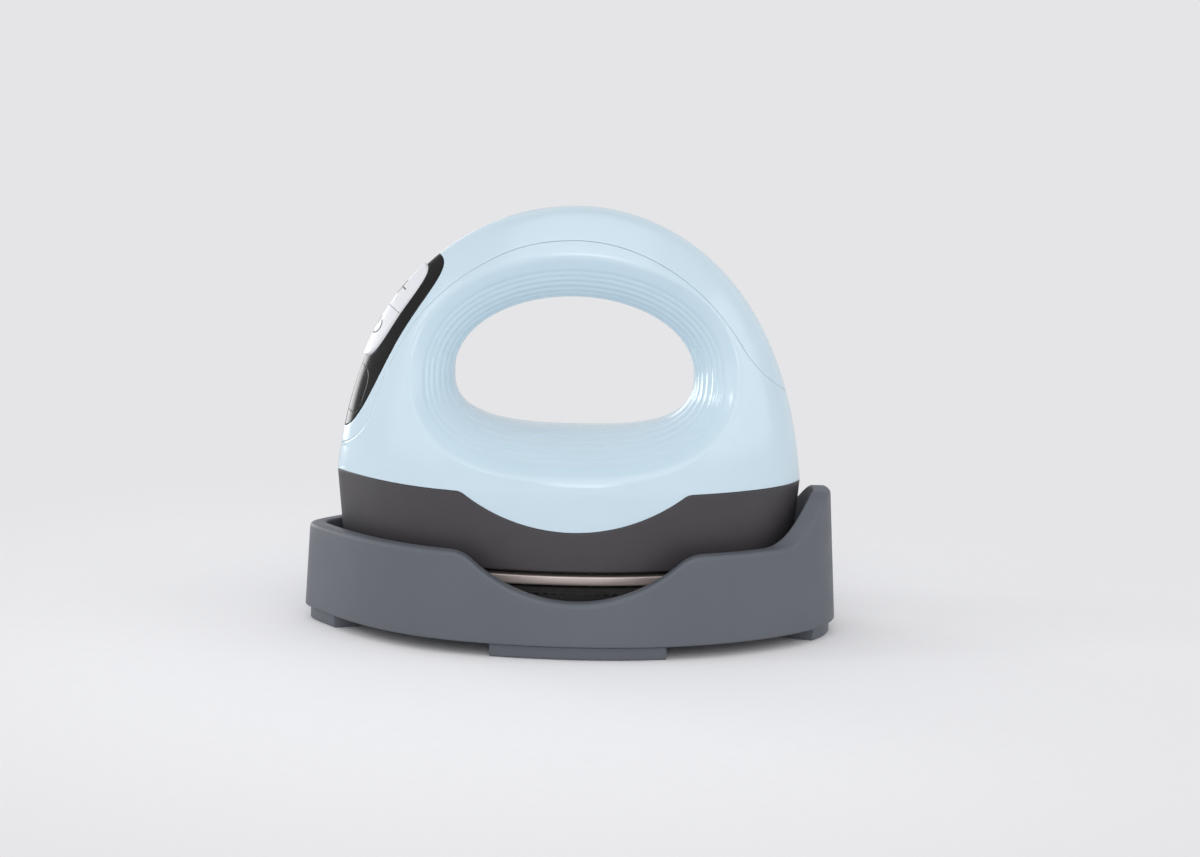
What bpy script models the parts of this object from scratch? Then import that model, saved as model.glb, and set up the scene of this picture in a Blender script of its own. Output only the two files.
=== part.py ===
"""Mini handheld heat press standing in its safety cradle.

The long way of the object runs along X, with the panel end (the nose) at -X and the mains inlet (the heel) at
+X. The hand hole runs along Y and the press lifts off along +Z. The origin lies on the table under the middle
of the cradle. Sizes are in metres.
"""

import math

import bmesh
import bpy
from mathutils import Matrix, Vector

# General clearances and cutting allowances
CLEARANCE = 0.0003
OVERRUN = 0.010
WELD_DISTANCE = 0.00001

# Plan shape: half an ellipse towards each end, drawn in by a taper that grows towards the tip
NOSE_TAPER_SHARE = 0.60
NOSE_TAPER_POWER = 5.0
HEEL_TAPER_SHARE = 0.15
HEEL_TAPER_POWER = 2.5

# Press body: a dome over a drafted skirt
BODY_CENTRE_X = 0.00105
BODY_NOSE_LENGTH = 0.0570
BODY_HEEL_LENGTH = 0.0535
BODY_LENGTH = BODY_NOSE_LENGTH + BODY_HEEL_LENGTH
BODY_WIDTH = 0.0624
BODY_DRAFT = math.radians(5.0)
SKIRT_BOTTOM = 0.0189
WAIST_HEIGHT = 0.0370
DOME_HEIGHT = 0.0635
BODY_TOP = WAIST_HEIGHT + DOME_HEIGHT
DOME_TAPER_SHARE = 0.29
DOME_TAPER_POWER = 1.33
NOSE_SLIMMING = 0.00115
HEEL_SLIMMING = 0.0009
SLIMMING_SCALE = 6.75
SHELL_WALL = 0.0022

# Cradle, which stands round the press with room to lift it out
CRADLE_NOSE_ROOM = 0.0078
CRADLE_HEEL_ROOM = 0.0092
CRADLE_SIDE_ROOM = 0.0066
CRADLE_PEAK_SHIFT = 0.0025
CRADLE_PEAK_X = BODY_CENTRE_X + CRADLE_PEAK_SHIFT
CRADLE_NOSE_LENGTH = BODY_NOSE_LENGTH + CRADLE_NOSE_ROOM + CRADLE_PEAK_SHIFT
CRADLE_HEEL_LENGTH = BODY_HEEL_LENGTH + CRADLE_HEEL_ROOM - CRADLE_PEAK_SHIFT
CRADLE_WIDTH = BODY_WIDTH + 2 * CRADLE_SIDE_ROOM
CRADLE_WALL = 0.0040
CRADLE_DRAFT = math.radians(3.4)
FOOT_HEIGHT = 0.0032
CRADLE_FLOOR_TOP = 0.0100
CRADLE_FLOOR_THICKNESS = 0.0025
CRADLE_SEAT_WIDTH = 0.0080
RIM_HEIGHT = 0.0236
HEEL_WALL_HEIGHT = 0.0345
HEEL_WALL_FLAT_HALF_WIDTH = 0.0035
HEEL_WALL_FOOT_HALF_WIDTH = 0.0200
HEEL_WALL_START_X = 0.0445
WINDOW_CENTRE_X = 0.00285
WINDOW_BOTTOM = 0.0131
WINDOW_RADIUS = 0.0369
WINDOW_SHOULDER_RADIUS = 0.0080

# Feet
FOOT_INSET = 0.0013
FOOT_BAND = 0.0062
FRONT_FOOT_START_X = -0.0165
FRONT_FOOT_END_X = 0.0240
NOSE_FOOT_END_X = -0.0525
HEEL_FOOT_START_X = 0.0553
FOOT_PEG_RADIUS = 0.0015
FOOT_PEG_LENGTH = 0.0025
FOOT_PEG_SPACING = 0.0240

# Rest pad
PAD_INSET = 0.0006
PAD_TOP = 0.0151

# Web inside the skirt, and what stands on it
WEB_BOTTOM = 0.0256
WEB_TOP = 0.0276
WEB_WINDOW_LENGTH = 0.0400
WEB_WINDOW_WIDTH = 0.0180
PLATE_POST_X = 0.0380
PLATE_POST_Y = 0.0080
PLATE_POST_RADIUS = 0.0030
PLATE_SCREW_RADIUS = 0.0010
PLATE_SCREW_DEPTH = 0.0032
SCREW_HEAD_RADIUS = 0.0023
SCREW_HEAD_HEIGHT = 0.0016
SCREW_HEAD_TOP_SHARE = 0.8
SCREW_HEAD_SIDE_SHARE = 0.6
SCREW_TIP_SHARE = 0.5
MAINS_BOARD_BOTTOM = 0.0320
MAINS_BOARD_THICKNESS = 0.0016
MAINS_BOARD_LENGTH = 0.0660
MAINS_BOARD_WIDTH = 0.0300
MAINS_POST_RADIUS = 0.0020
MAINS_POST_X = 0.0280
MAINS_POST_Y = 0.0120
RELAY_LENGTH = 0.0180
RELAY_WIDTH = 0.0100
RELAY_HEIGHT = 0.0078
RELAY_X = -0.0200
CAPACITOR_RADIUS = 0.0038
CAPACITOR_LENGTH = 0.0150
CAPACITOR_X = 0.0020
CAPACITOR_Y = -0.0070
FUSE_RADIUS = 0.0024
FUSE_LENGTH = 0.0180
FUSE_X = 0.0060
FUSE_Y = 0.0080
TERMINAL_LENGTH = 0.0090
TERMINAL_WIDTH = 0.0120
TERMINAL_HEIGHT = 0.0070
TERMINAL_X = 0.0215

# Hand hole: a throat at mid-depth that flares to a lip on each side
HANDLE_THICKNESS = 0.0214
HANDLE_LIP_BAND = 0.0105
HOLE_FLOOR_ROOM = 0.0042
HOLE_FLOOR_Z = (MAINS_BOARD_BOTTOM + MAINS_BOARD_THICKNESS + CLEARANCE + RELAY_HEIGHT + HOLE_FLOOR_ROOM
                + SHELL_WALL)
LIP_FLOOR_DROP = 0.0078
THROAT_CENTRE_X = 0.0004
THROAT_CENTRE_RISE = 0.0243
THROAT_CENTRE_Z = WAIST_HEIGHT + THROAT_CENTRE_RISE
THROAT_HALF_LENGTH = 0.02835
THROAT_RISE = BODY_TOP - HANDLE_THICKNESS - THROAT_CENTRE_Z
THROAT_DROP = THROAT_CENTRE_Z - HOLE_FLOOR_Z
THROAT_DROP_POWER = 2.8
LIP_CENTRE_X = 0.00095
LIP_CENTRE_RISE = 0.0260
LIP_CENTRE_Z = WAIST_HEIGHT + LIP_CENTRE_RISE
LIP_HALF_LENGTH = 0.0382
LIP_RISE = BODY_TOP - HANDLE_LIP_BAND - LIP_CENTRE_Z
LIP_DROP = LIP_CENTRE_Z - HOLE_FLOOR_Z + LIP_FLOOR_DROP
LIP_DROP_POWER = 2.6
LIP_OVERSHOOT_SHARE = 1.07

# Line between the dark skirt and the blue shells
PARTING_DROP = 0.0002
PARTING_HEIGHT = WAIST_HEIGHT - PARTING_DROP
DIP_CENTRE_X = 0.00205
DIP_BOTTOM = 0.0282
DIP_RADIUS = 0.0438
DIP_SHOULDER_RADIUS = 0.0030

# Panel at the nose, laid out in a frame that stands on the ridge
PANEL_SLOPE_SHARE = 0.6432
PANEL_TILT = math.atan(PANEL_SLOPE_SHARE * BODY_NOSE_LENGTH / DOME_HEIGHT)
PANEL_RISE_SHARE = 0.488
PANEL_Z = WAIST_HEIGHT + PANEL_RISE_SHARE * DOME_HEIGHT
PANEL_WALL = 0.0030
BEZEL_CENTRE_U = 0.0016
BEZEL_LENGTH = 0.0456
BEZEL_WIDTH = 0.0168
BEZEL_UPPER_POWER = 3.2
BEZEL_LOWER_POWER = 2.1
BEZEL_LOW_MARGIN = 0.0039
BEZEL_HIGH_MARGIN = 0.0022
BEZEL_LOW_U = BEZEL_CENTRE_U - BEZEL_LENGTH / 2
BEZEL_HIGH_U = BEZEL_CENTRE_U + BEZEL_LENGTH / 2
WINDOW_PANE_LENGTH = 0.0114
WINDOW_PANE_CENTRE_U = BEZEL_LOW_U + BEZEL_LOW_MARGIN + WINDOW_PANE_LENGTH / 2
PANE_TO_CAPS = 0.0019
CAPS_LOW_U = WINDOW_PANE_CENTRE_U + WINDOW_PANE_LENGTH / 2 + PANE_TO_CAPS
CAPS_LENGTH = BEZEL_HIGH_U - BEZEL_HIGH_MARGIN - CAPS_LOW_U
CAPS_CENTRE_U = CAPS_LOW_U + CAPS_LENGTH / 2
CAPS_WIDTH = 0.0100
CAPS_UPPER_POWER = 2.7
CAPS_LOWER_POWER = 2.8
CAPS_DIVIDE_RISE = 0.0003
CAPS_DIVIDE_U = CAPS_CENTRE_U + CAPS_DIVIDE_RISE
CAP_PROUD = 0.0006
CAP_WALL = 0.0036
CAP_FLANGE_WIDTH = 0.0006
CAP_FLANGE_THICKNESS = 0.0009
CAP_TRAVEL = 0.0005
WINDOW_PANE_WIDTH = 0.0110
WINDOW_PANE_POWER = 3.5
WINDOW_PANE_THICKNESS = 0.0016

# Strip over the handle, which narrows beside the panel and frames it with a slim band
SPINE_WIDTH = 0.0221
SPINE_BAND = 0.00145
SPINE_NOSE_WIDTH = BEZEL_WIDTH + 2 * SPINE_BAND
SPINE_WIDE_SHARE = 0.80
SPINE_NARROW_SHARE = 0.60
SPINE_END_MARGIN = 0.0065
SPINE_NOSE_TIP_Z = PANEL_Z + BEZEL_LOW_U * math.cos(PANEL_TILT) - SPINE_END_MARGIN
SPINE_NOSE_END_Z = SPINE_NOSE_TIP_Z + SPINE_NOSE_WIDTH / 2
SPINE_HEEL_RISE = 0.0320
SPINE_HEEL_END_Z = WAIST_HEIGHT + SPINE_HEEL_RISE
FLARE_SKIN = 0.0009

# Control board behind the panel
BOARD_DEPTH = 0.0103
BOARD_THICKNESS = 0.0012
BOARD_LOW_MARGIN = 0.0059
BOARD_HIGH_MARGIN = 0.0079
BOARD_LENGTH = BEZEL_LENGTH - BOARD_LOW_MARGIN - BOARD_HIGH_MARGIN
BOARD_WIDTH = 0.0180
BOARD_POWER = 2.4
BOARD_CENTRE_U = BEZEL_LOW_U + BOARD_LOW_MARGIN + BOARD_LENGTH / 2
BEZEL_POST_RADIUS = 0.0008
BEZEL_POST_U = 0.0080
BEZEL_POST_V = 0.0067
DISPLAY_LENGTH = 0.0090
DISPLAY_WIDTH = 0.0100
DISPLAY_HEIGHT = 0.0022
SWITCH_SIZE = 0.0060
SWITCH_HEIGHT = 0.0024
PLUNGER_RADIUS = 0.0013
PLUNGER_PROUD = 0.0010
PLUNGER_SINK = 0.0012
STEM_RADIUS = 0.0015
POWER_SWITCH_DROP = 0.0057
POWER_SWITCH_U = CAPS_DIVIDE_U - POWER_SWITCH_DROP
PLUS_SWITCH_RISE = 0.0036
PLUS_SWITCH_U = CAPS_DIVIDE_U + PLUS_SWITCH_RISE

# Hot part
PLATE_BOTTOM = 0.0154
PLATE_FLANGE_TOP = 0.0177
PLATE_TOP = 0.0224
PLATE_INSET = 0.0008
PLATE_EDGE_CHAMFER = 0.0005
RING_WIDTH = 0.0024
RING_TOP = 0.0220
SHEET_LENGTH = 0.0660
SHEET_WIDTH = 0.0300
SHEET_THICKNESS = 0.0006
SHEET_CORNER_RADIUS = 0.0060
CLAMP_THICKNESS = 0.0010
CLAMP_MARGIN = 0.0015
FUSE_LINK_RADIUS = 0.0019
FUSE_LINK_LENGTH = 0.0120
FUSE_LINK_X = -0.0080
FUSE_LINK_Y = 0.0040
SENSOR_RADIUS = 0.0014
SENSOR_LENGTH = 0.0070
SENSOR_X = 0.0110
SENSOR_Y = -0.0040

# Screws that join the two shells, each given by its place in the side view
SHELL_BOSS_RADIUS = 0.0031
SHELL_SCREW_RADIUS = 0.0012
SHELL_SCREW_HEAD_RADIUS = 0.0024
SHELL_SCREW_HEAD_HEIGHT = 0.0018
SHELL_SCREW_SEAT_Y = 0.0060
SHELL_SCREW_REACH = 0.0085
NOSE_SCREW_X = -0.0400
NOSE_SCREW_Z = 0.0420
HEEL_SCREW_X = 0.0350
HEEL_SCREW_Z = 0.0410

# Mains inlet, upright in the heel of the back shell
INLET_Y = 0.0060
INLET_Z = 0.0503
INLET_FACE_X = 0.0482
INLET_DEPTH = 0.0094
INLET_BODY_WIDTH = 0.0110
INLET_BODY_HEIGHT = 0.0174
INLET_LOBE_RADIUS = 0.0038
INLET_LOBE_SPACING = 0.0070
INLET_RECESS_DEPTH = 0.0075
INLET_PIN_RADIUS = 0.0012
INLET_PIN_SPACING = 0.0086
INLET_PIN_TIP_SETBACK = 0.0020
INLET_TAB_LENGTH = 0.0030

# Wires
LEAD_RADIUS = 0.0007
LEAD_BEND = 0.0018
LEAD_RESOLUTION = 2
HEATER_LEAD_X = 0.0030
HEATER_LEAD_SPACING = 0.0090
CABLE_RADIUS = 0.0012
CABLE_START_X = -0.0312
CABLE_END_U = -0.0100
CABLE_BEND = 0.0030

# How finely curved shapes are divided
PLAN_POINTS = 36
DOME_STEPS = 9
HOLE_POINTS = 32
FLARE_SHARES = (0.0, 0.25, 0.5, 0.75, 1.0)
ARC_STEPS = 10
ROUND_POINTS = 16
ROUTE_STEPS = 4
SMOOTH_ANGLE = math.radians(35.0)

# How a cylinder or an outline is turned to lie along or across an axis
ALONG_X = (0.0, math.radians(90.0), 0.0)
ALONG_Y = (math.radians(90.0), 0.0, 0.0)
ACROSS_X = (math.radians(90.0), 0.0, math.radians(90.0))


def clear_scene():
    """Remove every object and the collections that a former run left."""
    for item in list(bpy.data.objects):
        bpy.data.objects.remove(item, do_unlink=True)
    for group in list(bpy.data.collections):
        bpy.data.collections.remove(group)


def make_collection(name):
    """Add a collection to the scene and return it."""
    group = bpy.data.collections.new(name)
    bpy.context.scene.collection.children.link(group)
    return group


def make_material(name, colour_hex, roughness, metallic=0.0):
    """Return a Principled material from an sRGB colour written as six hex digits."""
    channels = [int(colour_hex[i:i + 2], 16) / 255.0 for i in (0, 2, 4)]
    linear = [c / 12.92 if c <= 0.04045 else ((c + 0.055) / 1.055) ** 2.4 for c in channels]
    material = bpy.data.materials.new(name)
    material.use_nodes = True
    shader = material.node_tree.nodes["Principled BSDF"]
    shader.inputs["Base Color"].default_value = (*linear, 1.0)
    shader.inputs["Roughness"].default_value = roughness
    shader.inputs["Metallic"].default_value = metallic
    material.diffuse_color = (*linear, 1.0)
    return material


def add_object(name, mesh, group, material=None):
    """Put a mesh into the scene as an object."""
    item = bpy.data.objects.new(name, mesh)
    group.objects.link(item)
    if material is not None:
        mesh.materials.clear()
        mesh.materials.append(material)
    return item


def as_cutter(item):
    """Mark an object as a cutter or a guide, which no view or build shows."""
    item.hide_render = True
    item.display_type = "WIRE"
    return item


def modify(target, tool, operation, solver="EXACT"):
    """Cut, join or intersect the target with another object, and keep the result as its mesh."""
    step = target.modifiers.new(operation.lower(), "BOOLEAN")
    step.operation = operation
    step.solver = solver
    step.object = tool
    return bake(target)


def bake(item):
    """Turn an object's modifiers into plain faces, so that later steps start from a mesh."""
    bpy.context.view_layer.update()
    graph = bpy.context.evaluated_depsgraph_get()
    mesh = bpy.data.meshes.new_from_object(item.evaluated_get(graph))
    item.modifiers.clear()
    item.data = mesh
    return item


def finish(item, material):
    """Bake a piece, give it its material and shade its round faces smooth."""
    bake(item)
    item.data.materials.clear()
    item.data.materials.append(material)
    item.data.shade_smooth()
    item.data.set_sharp_from_angle(angle=SMOOTH_ANGLE)
    return item


def copy_of(item, name, group):
    """Return a separate copy of an object with its own mesh."""
    twin = bpy.data.objects.new(name, item.data.copy())
    twin.matrix_world = item.matrix_world
    group.objects.link(twin)
    return twin


def loft(name, rings, group, apex=None):
    """Join rings of equal point counts, listed upwards or along +Y seen clockwise, into a closed solid."""
    count = len(rings[0])
    points = [point for ring in rings for point in ring]
    faces = [tuple(range(count - 1, -1, -1))]
    for level in range(len(rings) - 1):
        low = level * count
        for i in range(count):
            j = (i + 1) % count
            faces.append((low + i, low + j, low + count + j, low + count + i))
    top = (len(rings) - 1) * count
    if apex is None:
        faces.append(tuple(range(top, top + count)))
    else:
        points.append(apex)
        faces += [(top + i, top + (i + 1) % count, len(points) - 1) for i in range(count)]
    mesh = bpy.data.meshes.new(name)
    mesh.from_pydata(points, [], faces)
    mesh.update()
    return add_object(name, mesh, group)


def curve_mesh(curve_item, group):
    """Turn a curve object into a welded mesh object of the same name and place."""
    bpy.context.view_layer.update()
    graph = bpy.context.evaluated_depsgraph_get()
    mesh = bpy.data.meshes.new_from_object(curve_item.evaluated_get(graph))
    shape = bmesh.new()
    shape.from_mesh(mesh)
    bmesh.ops.remove_doubles(shape, verts=shape.verts, dist=WELD_DISTANCE)
    bmesh.ops.recalc_face_normals(shape, faces=shape.faces)
    shape.to_mesh(mesh)
    shape.free()
    name = curve_item.name
    place = curve_item.matrix_world.copy()
    bpy.data.objects.remove(curve_item, do_unlink=True)
    item = add_object(name, mesh, group)
    item.matrix_world = place
    return item


def prism(name, outline, thickness, group, location=(0.0, 0.0, 0.0), rotation=(0.0, 0.0, 0.0)):
    """A flat outline in the local XY plane, made thick to both sides of that plane."""
    curve = bpy.data.curves.new(name, "CURVE")
    curve.dimensions = "2D"
    curve.fill_mode = "BOTH"
    curve.extrude = thickness / 2
    spline = curve.splines.new("POLY")
    spline.points.add(len(outline) - 1)
    for point, (x, y) in zip(spline.points, outline):
        point.co = (x, y, 0.0, 1.0)
    spline.use_cyclic_u = True
    item = bpy.data.objects.new(name, curve)
    item.location = location
    item.rotation_euler = rotation
    group.objects.link(item)
    return curve_mesh(item, group)


def side_prism(name, outline, depth, group):
    """A prism whose outline is drawn in the side view, as (x, z), and which is thick along Y."""
    return prism(name, outline, depth, group, rotation=ALONG_Y)


def box(name, size, centre, group, rotation=(0.0, 0.0, 0.0)):
    """A box of the given size about its centre."""
    bpy.ops.mesh.primitive_cube_add(size=1.0, location=centre, rotation=rotation)
    return adopt_primitive(name, size, group)


def cylinder(name, radius, length, centre, group, rotation=(0.0, 0.0, 0.0)):
    """A cylinder about its centre, along local Z."""
    bpy.ops.mesh.primitive_cylinder_add(vertices=ROUND_POINTS, radius=radius, depth=length,
                                        location=centre, rotation=rotation)
    return adopt_primitive(name, (1.0, 1.0, 1.0), group)


def adopt_primitive(name, size, group):
    """Name the primitive just added, put its size into its mesh and move it to a collection."""
    item = bpy.context.object
    item.name = name
    item.data.name = name
    item.data.transform(Matrix.Diagonal((*size, 1.0)))
    for owner in list(item.users_collection):
        owner.objects.unlink(item)
    group.objects.link(item)
    return item


def plan_ring(peak_x, nose, heel, half_width, z, points=PLAN_POINTS):
    """Points of the plan shape at one height, counter-clockwise seen from above."""
    ring = []
    for i in range(points):
        angle = 2.0 * math.pi * i / points
        along = math.cos(angle)
        if along >= 0.0:
            x = peak_x + heel * along
            taper = 1.0 - HEEL_TAPER_SHARE * along ** HEEL_TAPER_POWER
        else:
            x = peak_x + nose * along
            taper = 1.0 - NOSE_TAPER_SHARE * (-along) ** NOSE_TAPER_POWER
        ring.append((x, half_width * math.sin(angle) * taper, z))
    return ring


def cradle_ring(inset, z):
    """The cradle's outline at a height, drawn in by an inset and by the wall's draft."""
    drawn_in = inset + (z - FOOT_HEIGHT) * math.tan(CRADLE_DRAFT)
    return plan_ring(CRADLE_PEAK_X, CRADLE_NOSE_LENGTH - drawn_in, CRADLE_HEEL_LENGTH - drawn_in,
                     CRADLE_WIDTH / 2 - drawn_in, z)


def upright_cradle_ring(inset, z):
    """The cradle's foot outline with an inset and no draft."""
    return plan_ring(CRADLE_PEAK_X, CRADLE_NOSE_LENGTH - inset, CRADLE_HEEL_LENGTH - inset,
                     CRADLE_WIDTH / 2 - inset, z)


def skirt_ring(inset, z):
    """The body's outline below the waist."""
    drawn_in = inset + (WAIST_HEIGHT - z) * math.tan(BODY_DRAFT)
    return plan_ring(BODY_CENTRE_X, BODY_NOSE_LENGTH - drawn_in, BODY_HEEL_LENGTH - drawn_in,
                     BODY_WIDTH / 2 - drawn_in, z)


def dome_size(rise_share, inset):
    """Nose length, heel length and half-width of the dome where it has risen by a share of its height.

    Both ends are a little slimmer than an ellipse, most of all a third of the way up.
    """
    shrink = math.sqrt(max(0.0, 1.0 - rise_share ** 2))
    taper = 1.0 - DOME_TAPER_SHARE * rise_share ** DOME_TAPER_POWER
    slimming = SLIMMING_SCALE * rise_share * (1.0 - rise_share) ** 2
    return ((BODY_NOSE_LENGTH - inset) * shrink - NOSE_SLIMMING * slimming,
            (BODY_HEEL_LENGTH - inset) * shrink - HEEL_SLIMMING * slimming,
            (BODY_WIDTH / 2 - inset) * shrink * taper)


def body_form(name, inset, bottom, group):
    """The outside of the press, or a copy of it drawn in by an inset, as one closed solid."""
    rings = [skirt_ring(inset, bottom), skirt_ring(inset, WAIST_HEIGHT)]
    for step in range(1, DOME_STEPS):
        share = math.sin(math.pi / 2 * step / DOME_STEPS)
        nose, heel, half_width = dome_size(share, inset)
        z = WAIST_HEIGHT + (DOME_HEIGHT - inset) * share
        rings.append(plan_ring(BODY_CENTRE_X, nose, heel, half_width, z))
    apex = (BODY_CENTRE_X, 0.0, WAIST_HEIGHT + DOME_HEIGHT - inset)
    return as_cutter(loft(name, rings, group, apex))


def ridge_x(z):
    """Where the dome's nose ridge stands at a height."""
    share = (z - WAIST_HEIGHT) / DOME_HEIGHT
    return BODY_CENTRE_X - dome_size(share, 0.0)[0]


def body_half_width(x, z):
    """Half the body's depth at a point of the side view."""
    share = max(0.0, (z - WAIST_HEIGHT) / DOME_HEIGHT)
    nose, heel, half_width = dome_size(share, 0.0)
    along = (x - BODY_CENTRE_X) / (heel if x > BODY_CENTRE_X else nose)
    if x > BODY_CENTRE_X:
        taper = 1.0 - HEEL_TAPER_SHARE * along ** HEEL_TAPER_POWER
    else:
        taper = 1.0 - NOSE_TAPER_SHARE * (-along) ** NOSE_TAPER_POWER
    return half_width * math.sqrt(max(0.0, 1.0 - along ** 2)) * taper


def hole_point(angle, centre_x, centre_z, half_length, rise, drop, drop_power):
    """A point of a hand-hole outline: an ellipse above its centre line, a fuller curve below it."""
    cosine = math.cos(angle)
    sine = math.sin(angle)
    if sine >= 0.0:
        return centre_x + half_length * cosine, centre_z + rise * sine
    power = 2.0 / drop_power
    x = centre_x + half_length * math.copysign(abs(cosine) ** power, cosine)
    return x, centre_z - drop * abs(sine) ** power


def hole_form(name, growth, group):
    """The hand hole as a solid along Y, grown outwards where it shapes the wall behind the flare."""
    throat = []
    lip = []
    depth = []
    for i in range(HOLE_POINTS):
        angle = 2.0 * math.pi * (i + 0.5) / HOLE_POINTS
        throat.append(hole_point(angle, THROAT_CENTRE_X, THROAT_CENTRE_Z, THROAT_HALF_LENGTH + growth,
                                 THROAT_RISE + growth, THROAT_DROP + growth, THROAT_DROP_POWER))
        lip.append(hole_point(angle, LIP_CENTRE_X, LIP_CENTRE_Z, LIP_HALF_LENGTH + growth,
                              LIP_RISE + growth, LIP_DROP + growth, LIP_DROP_POWER))
        edge = hole_point(angle, LIP_CENTRE_X, LIP_CENTRE_Z, LIP_HALF_LENGTH, LIP_RISE, LIP_DROP,
                          LIP_DROP_POWER)
        depth.append(body_half_width(*edge))
    outer_shares = FLARE_SHARES[1:] + (LIP_OVERSHOOT_SHARE,)
    shares = [-share for share in reversed(outer_shares)] + [0.0] + list(outer_shares)
    rings = []
    for share in shares:
        ring = []
        for (tx, tz), (lx, lz), y in zip(throat, lip, depth):
            ring.append((tx + (lx - tx) * share ** 2, y * share, tz + (lz - tz) * share ** 2))
        rings.append(ring)
    far = BODY_WIDTH / 2 + OVERRUN
    rings.insert(0, [(x, -far, z) for x, y, z in rings[0]])
    rings.append([(x, far, z) for x, y, z in rings[-1]])
    rings.reverse()
    return as_cutter(loft(name, rings, group))


def arched_line(flat_z, centre_x, bottom_z, radius, shoulder):
    """A level line that dips in an arc, with rounded shoulders, from left to right."""
    centre_z = bottom_z + radius
    lift = centre_z - (flat_z - shoulder)
    reach = math.sqrt((radius + shoulder) ** 2 - lift ** 2)
    bend = math.atan2(reach, lift)
    line = []
    for step in range(ARC_STEPS // 2 + 1):
        angle = bend * step / (ARC_STEPS // 2)
        line.append((centre_x - reach + shoulder * math.sin(angle),
                     flat_z - shoulder + shoulder * math.cos(angle)))
    for step in range(1, 2 * ARC_STEPS):
        angle = -bend + bend * step / ARC_STEPS
        line.append((centre_x + radius * math.sin(angle), centre_z - radius * math.cos(angle)))
    for step in range(ARC_STEPS // 2, -1, -1):
        angle = bend * step / (ARC_STEPS // 2)
        line.append((centre_x + reach - shoulder * math.sin(angle),
                     flat_z - shoulder + shoulder * math.cos(angle)))
    return line


def oval(centre_u, length, width, upper_power, lower_power, growth=0.0, points=ROUND_POINTS * 2):
    """An upright oval in panel coordinates, with its own fullness above and below its centre."""
    outline = []
    for i in range(points):
        angle = 2.0 * math.pi * i / points
        cosine = math.cos(angle)
        sine = math.sin(angle)
        power = 2.0 / (upper_power if cosine >= 0.0 else lower_power)
        u = (length / 2 + growth) * math.copysign(abs(cosine) ** power, cosine)
        v = (width / 2 + growth) * math.copysign(abs(sine) ** power, sine)
        outline.append((centre_u + u, v))
    return outline


def clip_outline(outline, limit_u, keep_above):
    """The part of an outline on one side of a line across it."""
    kept = []
    for i, (u, v) in enumerate(outline):
        next_u, next_v = outline[(i + 1) % len(outline)]
        inside = (u >= limit_u) == keep_above
        next_inside = (next_u >= limit_u) == keep_above
        if inside:
            kept.append((u, v))
        if inside != next_inside:
            share = (limit_u - u) / (next_u - u)
            kept.append((limit_u, v + (next_v - v) * share))
    return kept


PANEL_ORIGIN = Vector((ridge_x(PANEL_Z), 0.0, PANEL_Z))
PANEL_UP = Vector((math.sin(PANEL_TILT), 0.0, math.cos(PANEL_TILT)))
PANEL_OUT = Vector((-math.cos(PANEL_TILT), 0.0, math.sin(PANEL_TILT)))
PANEL_ROTATION = (0.0, PANEL_TILT - math.radians(90.0), 0.0)


def panel_place(u, v, height):
    """The world place of a point given up the panel, across it and out of it."""
    return PANEL_ORIGIN + PANEL_UP * u + Vector((0.0, v, 0.0)) + PANEL_OUT * height


def panel_prism(name, outline, group):
    """A long prism that runs through the panel along its outward direction."""
    return as_cutter(prism(name, outline, BODY_LENGTH, group, PANEL_ORIGIN, PANEL_ROTATION))


def panel_cylinder(name, radius, u, v, bottom, top, group):
    """A cylinder along the panel's outward direction."""
    centre = panel_place(u, v, (bottom + top) / 2)
    return cylinder(name, radius, top - bottom, centre, group, PANEL_ROTATION)


def panel_box(name, length, width, bottom, top, u, v, group):
    """A box that lies along the panel."""
    centre = panel_place(u, v, (bottom + top) / 2)
    return box(name, (length, width, top - bottom), centre, group, PANEL_ROTATION)


def nose_half(name, group):
    """Everything on the nose side of the body's middle."""
    size = (BODY_LENGTH, BODY_WIDTH + OVERRUN, 2 * BODY_TOP + OVERRUN)
    return as_cutter(box(name, size, (BODY_CENTRE_X - BODY_LENGTH / 2, 0.0, 0.0), group))


def tube(name, route, radius, group):
    """A round wire along a smooth line through the route's points."""
    curve = bpy.data.curves.new(name, "CURVE")
    curve.dimensions = "3D"
    curve.bevel_depth = radius
    curve.bevel_resolution = LEAD_RESOLUTION
    curve.use_fill_caps = True
    points = smooth_route(route)
    spline = curve.splines.new("POLY")
    spline.points.add(len(points) - 1)
    for point, place in zip(spline.points, points):
        point.co = (*place, 1.0)
    item = bpy.data.objects.new(name, curve)
    group.objects.link(item)
    return curve_mesh(item, group)


def smooth_route(route):
    """Points along a route: its first and last runs are straight, and a smooth curve joins them."""
    route = [Vector(place) for place in route]
    inner = route[1:-1]
    first = (route[1] - route[0]).normalized()
    last = (route[-1] - route[-2]).normalized()
    points = [route[0]]
    for i in range(len(inner) - 1):
        start, end = inner[i], inner[i + 1]
        span = (end - start).length
        leave = (end - inner[i - 1]) / 2 if i > 0 else first * span
        arrive = (inner[i + 2] - start) / 2 if i + 2 < len(inner) else last * span
        for step in range(ROUTE_STEPS):
            t = step / ROUTE_STEPS
            points.append(start * (2 * t ** 3 - 3 * t ** 2 + 1) + leave * (t ** 3 - 2 * t ** 2 + t)
                          + end * (3 * t ** 2 - 2 * t ** 3) + arrive * (t ** 3 - t ** 2))
    return points + [inner[-1], route[-1]]


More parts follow.
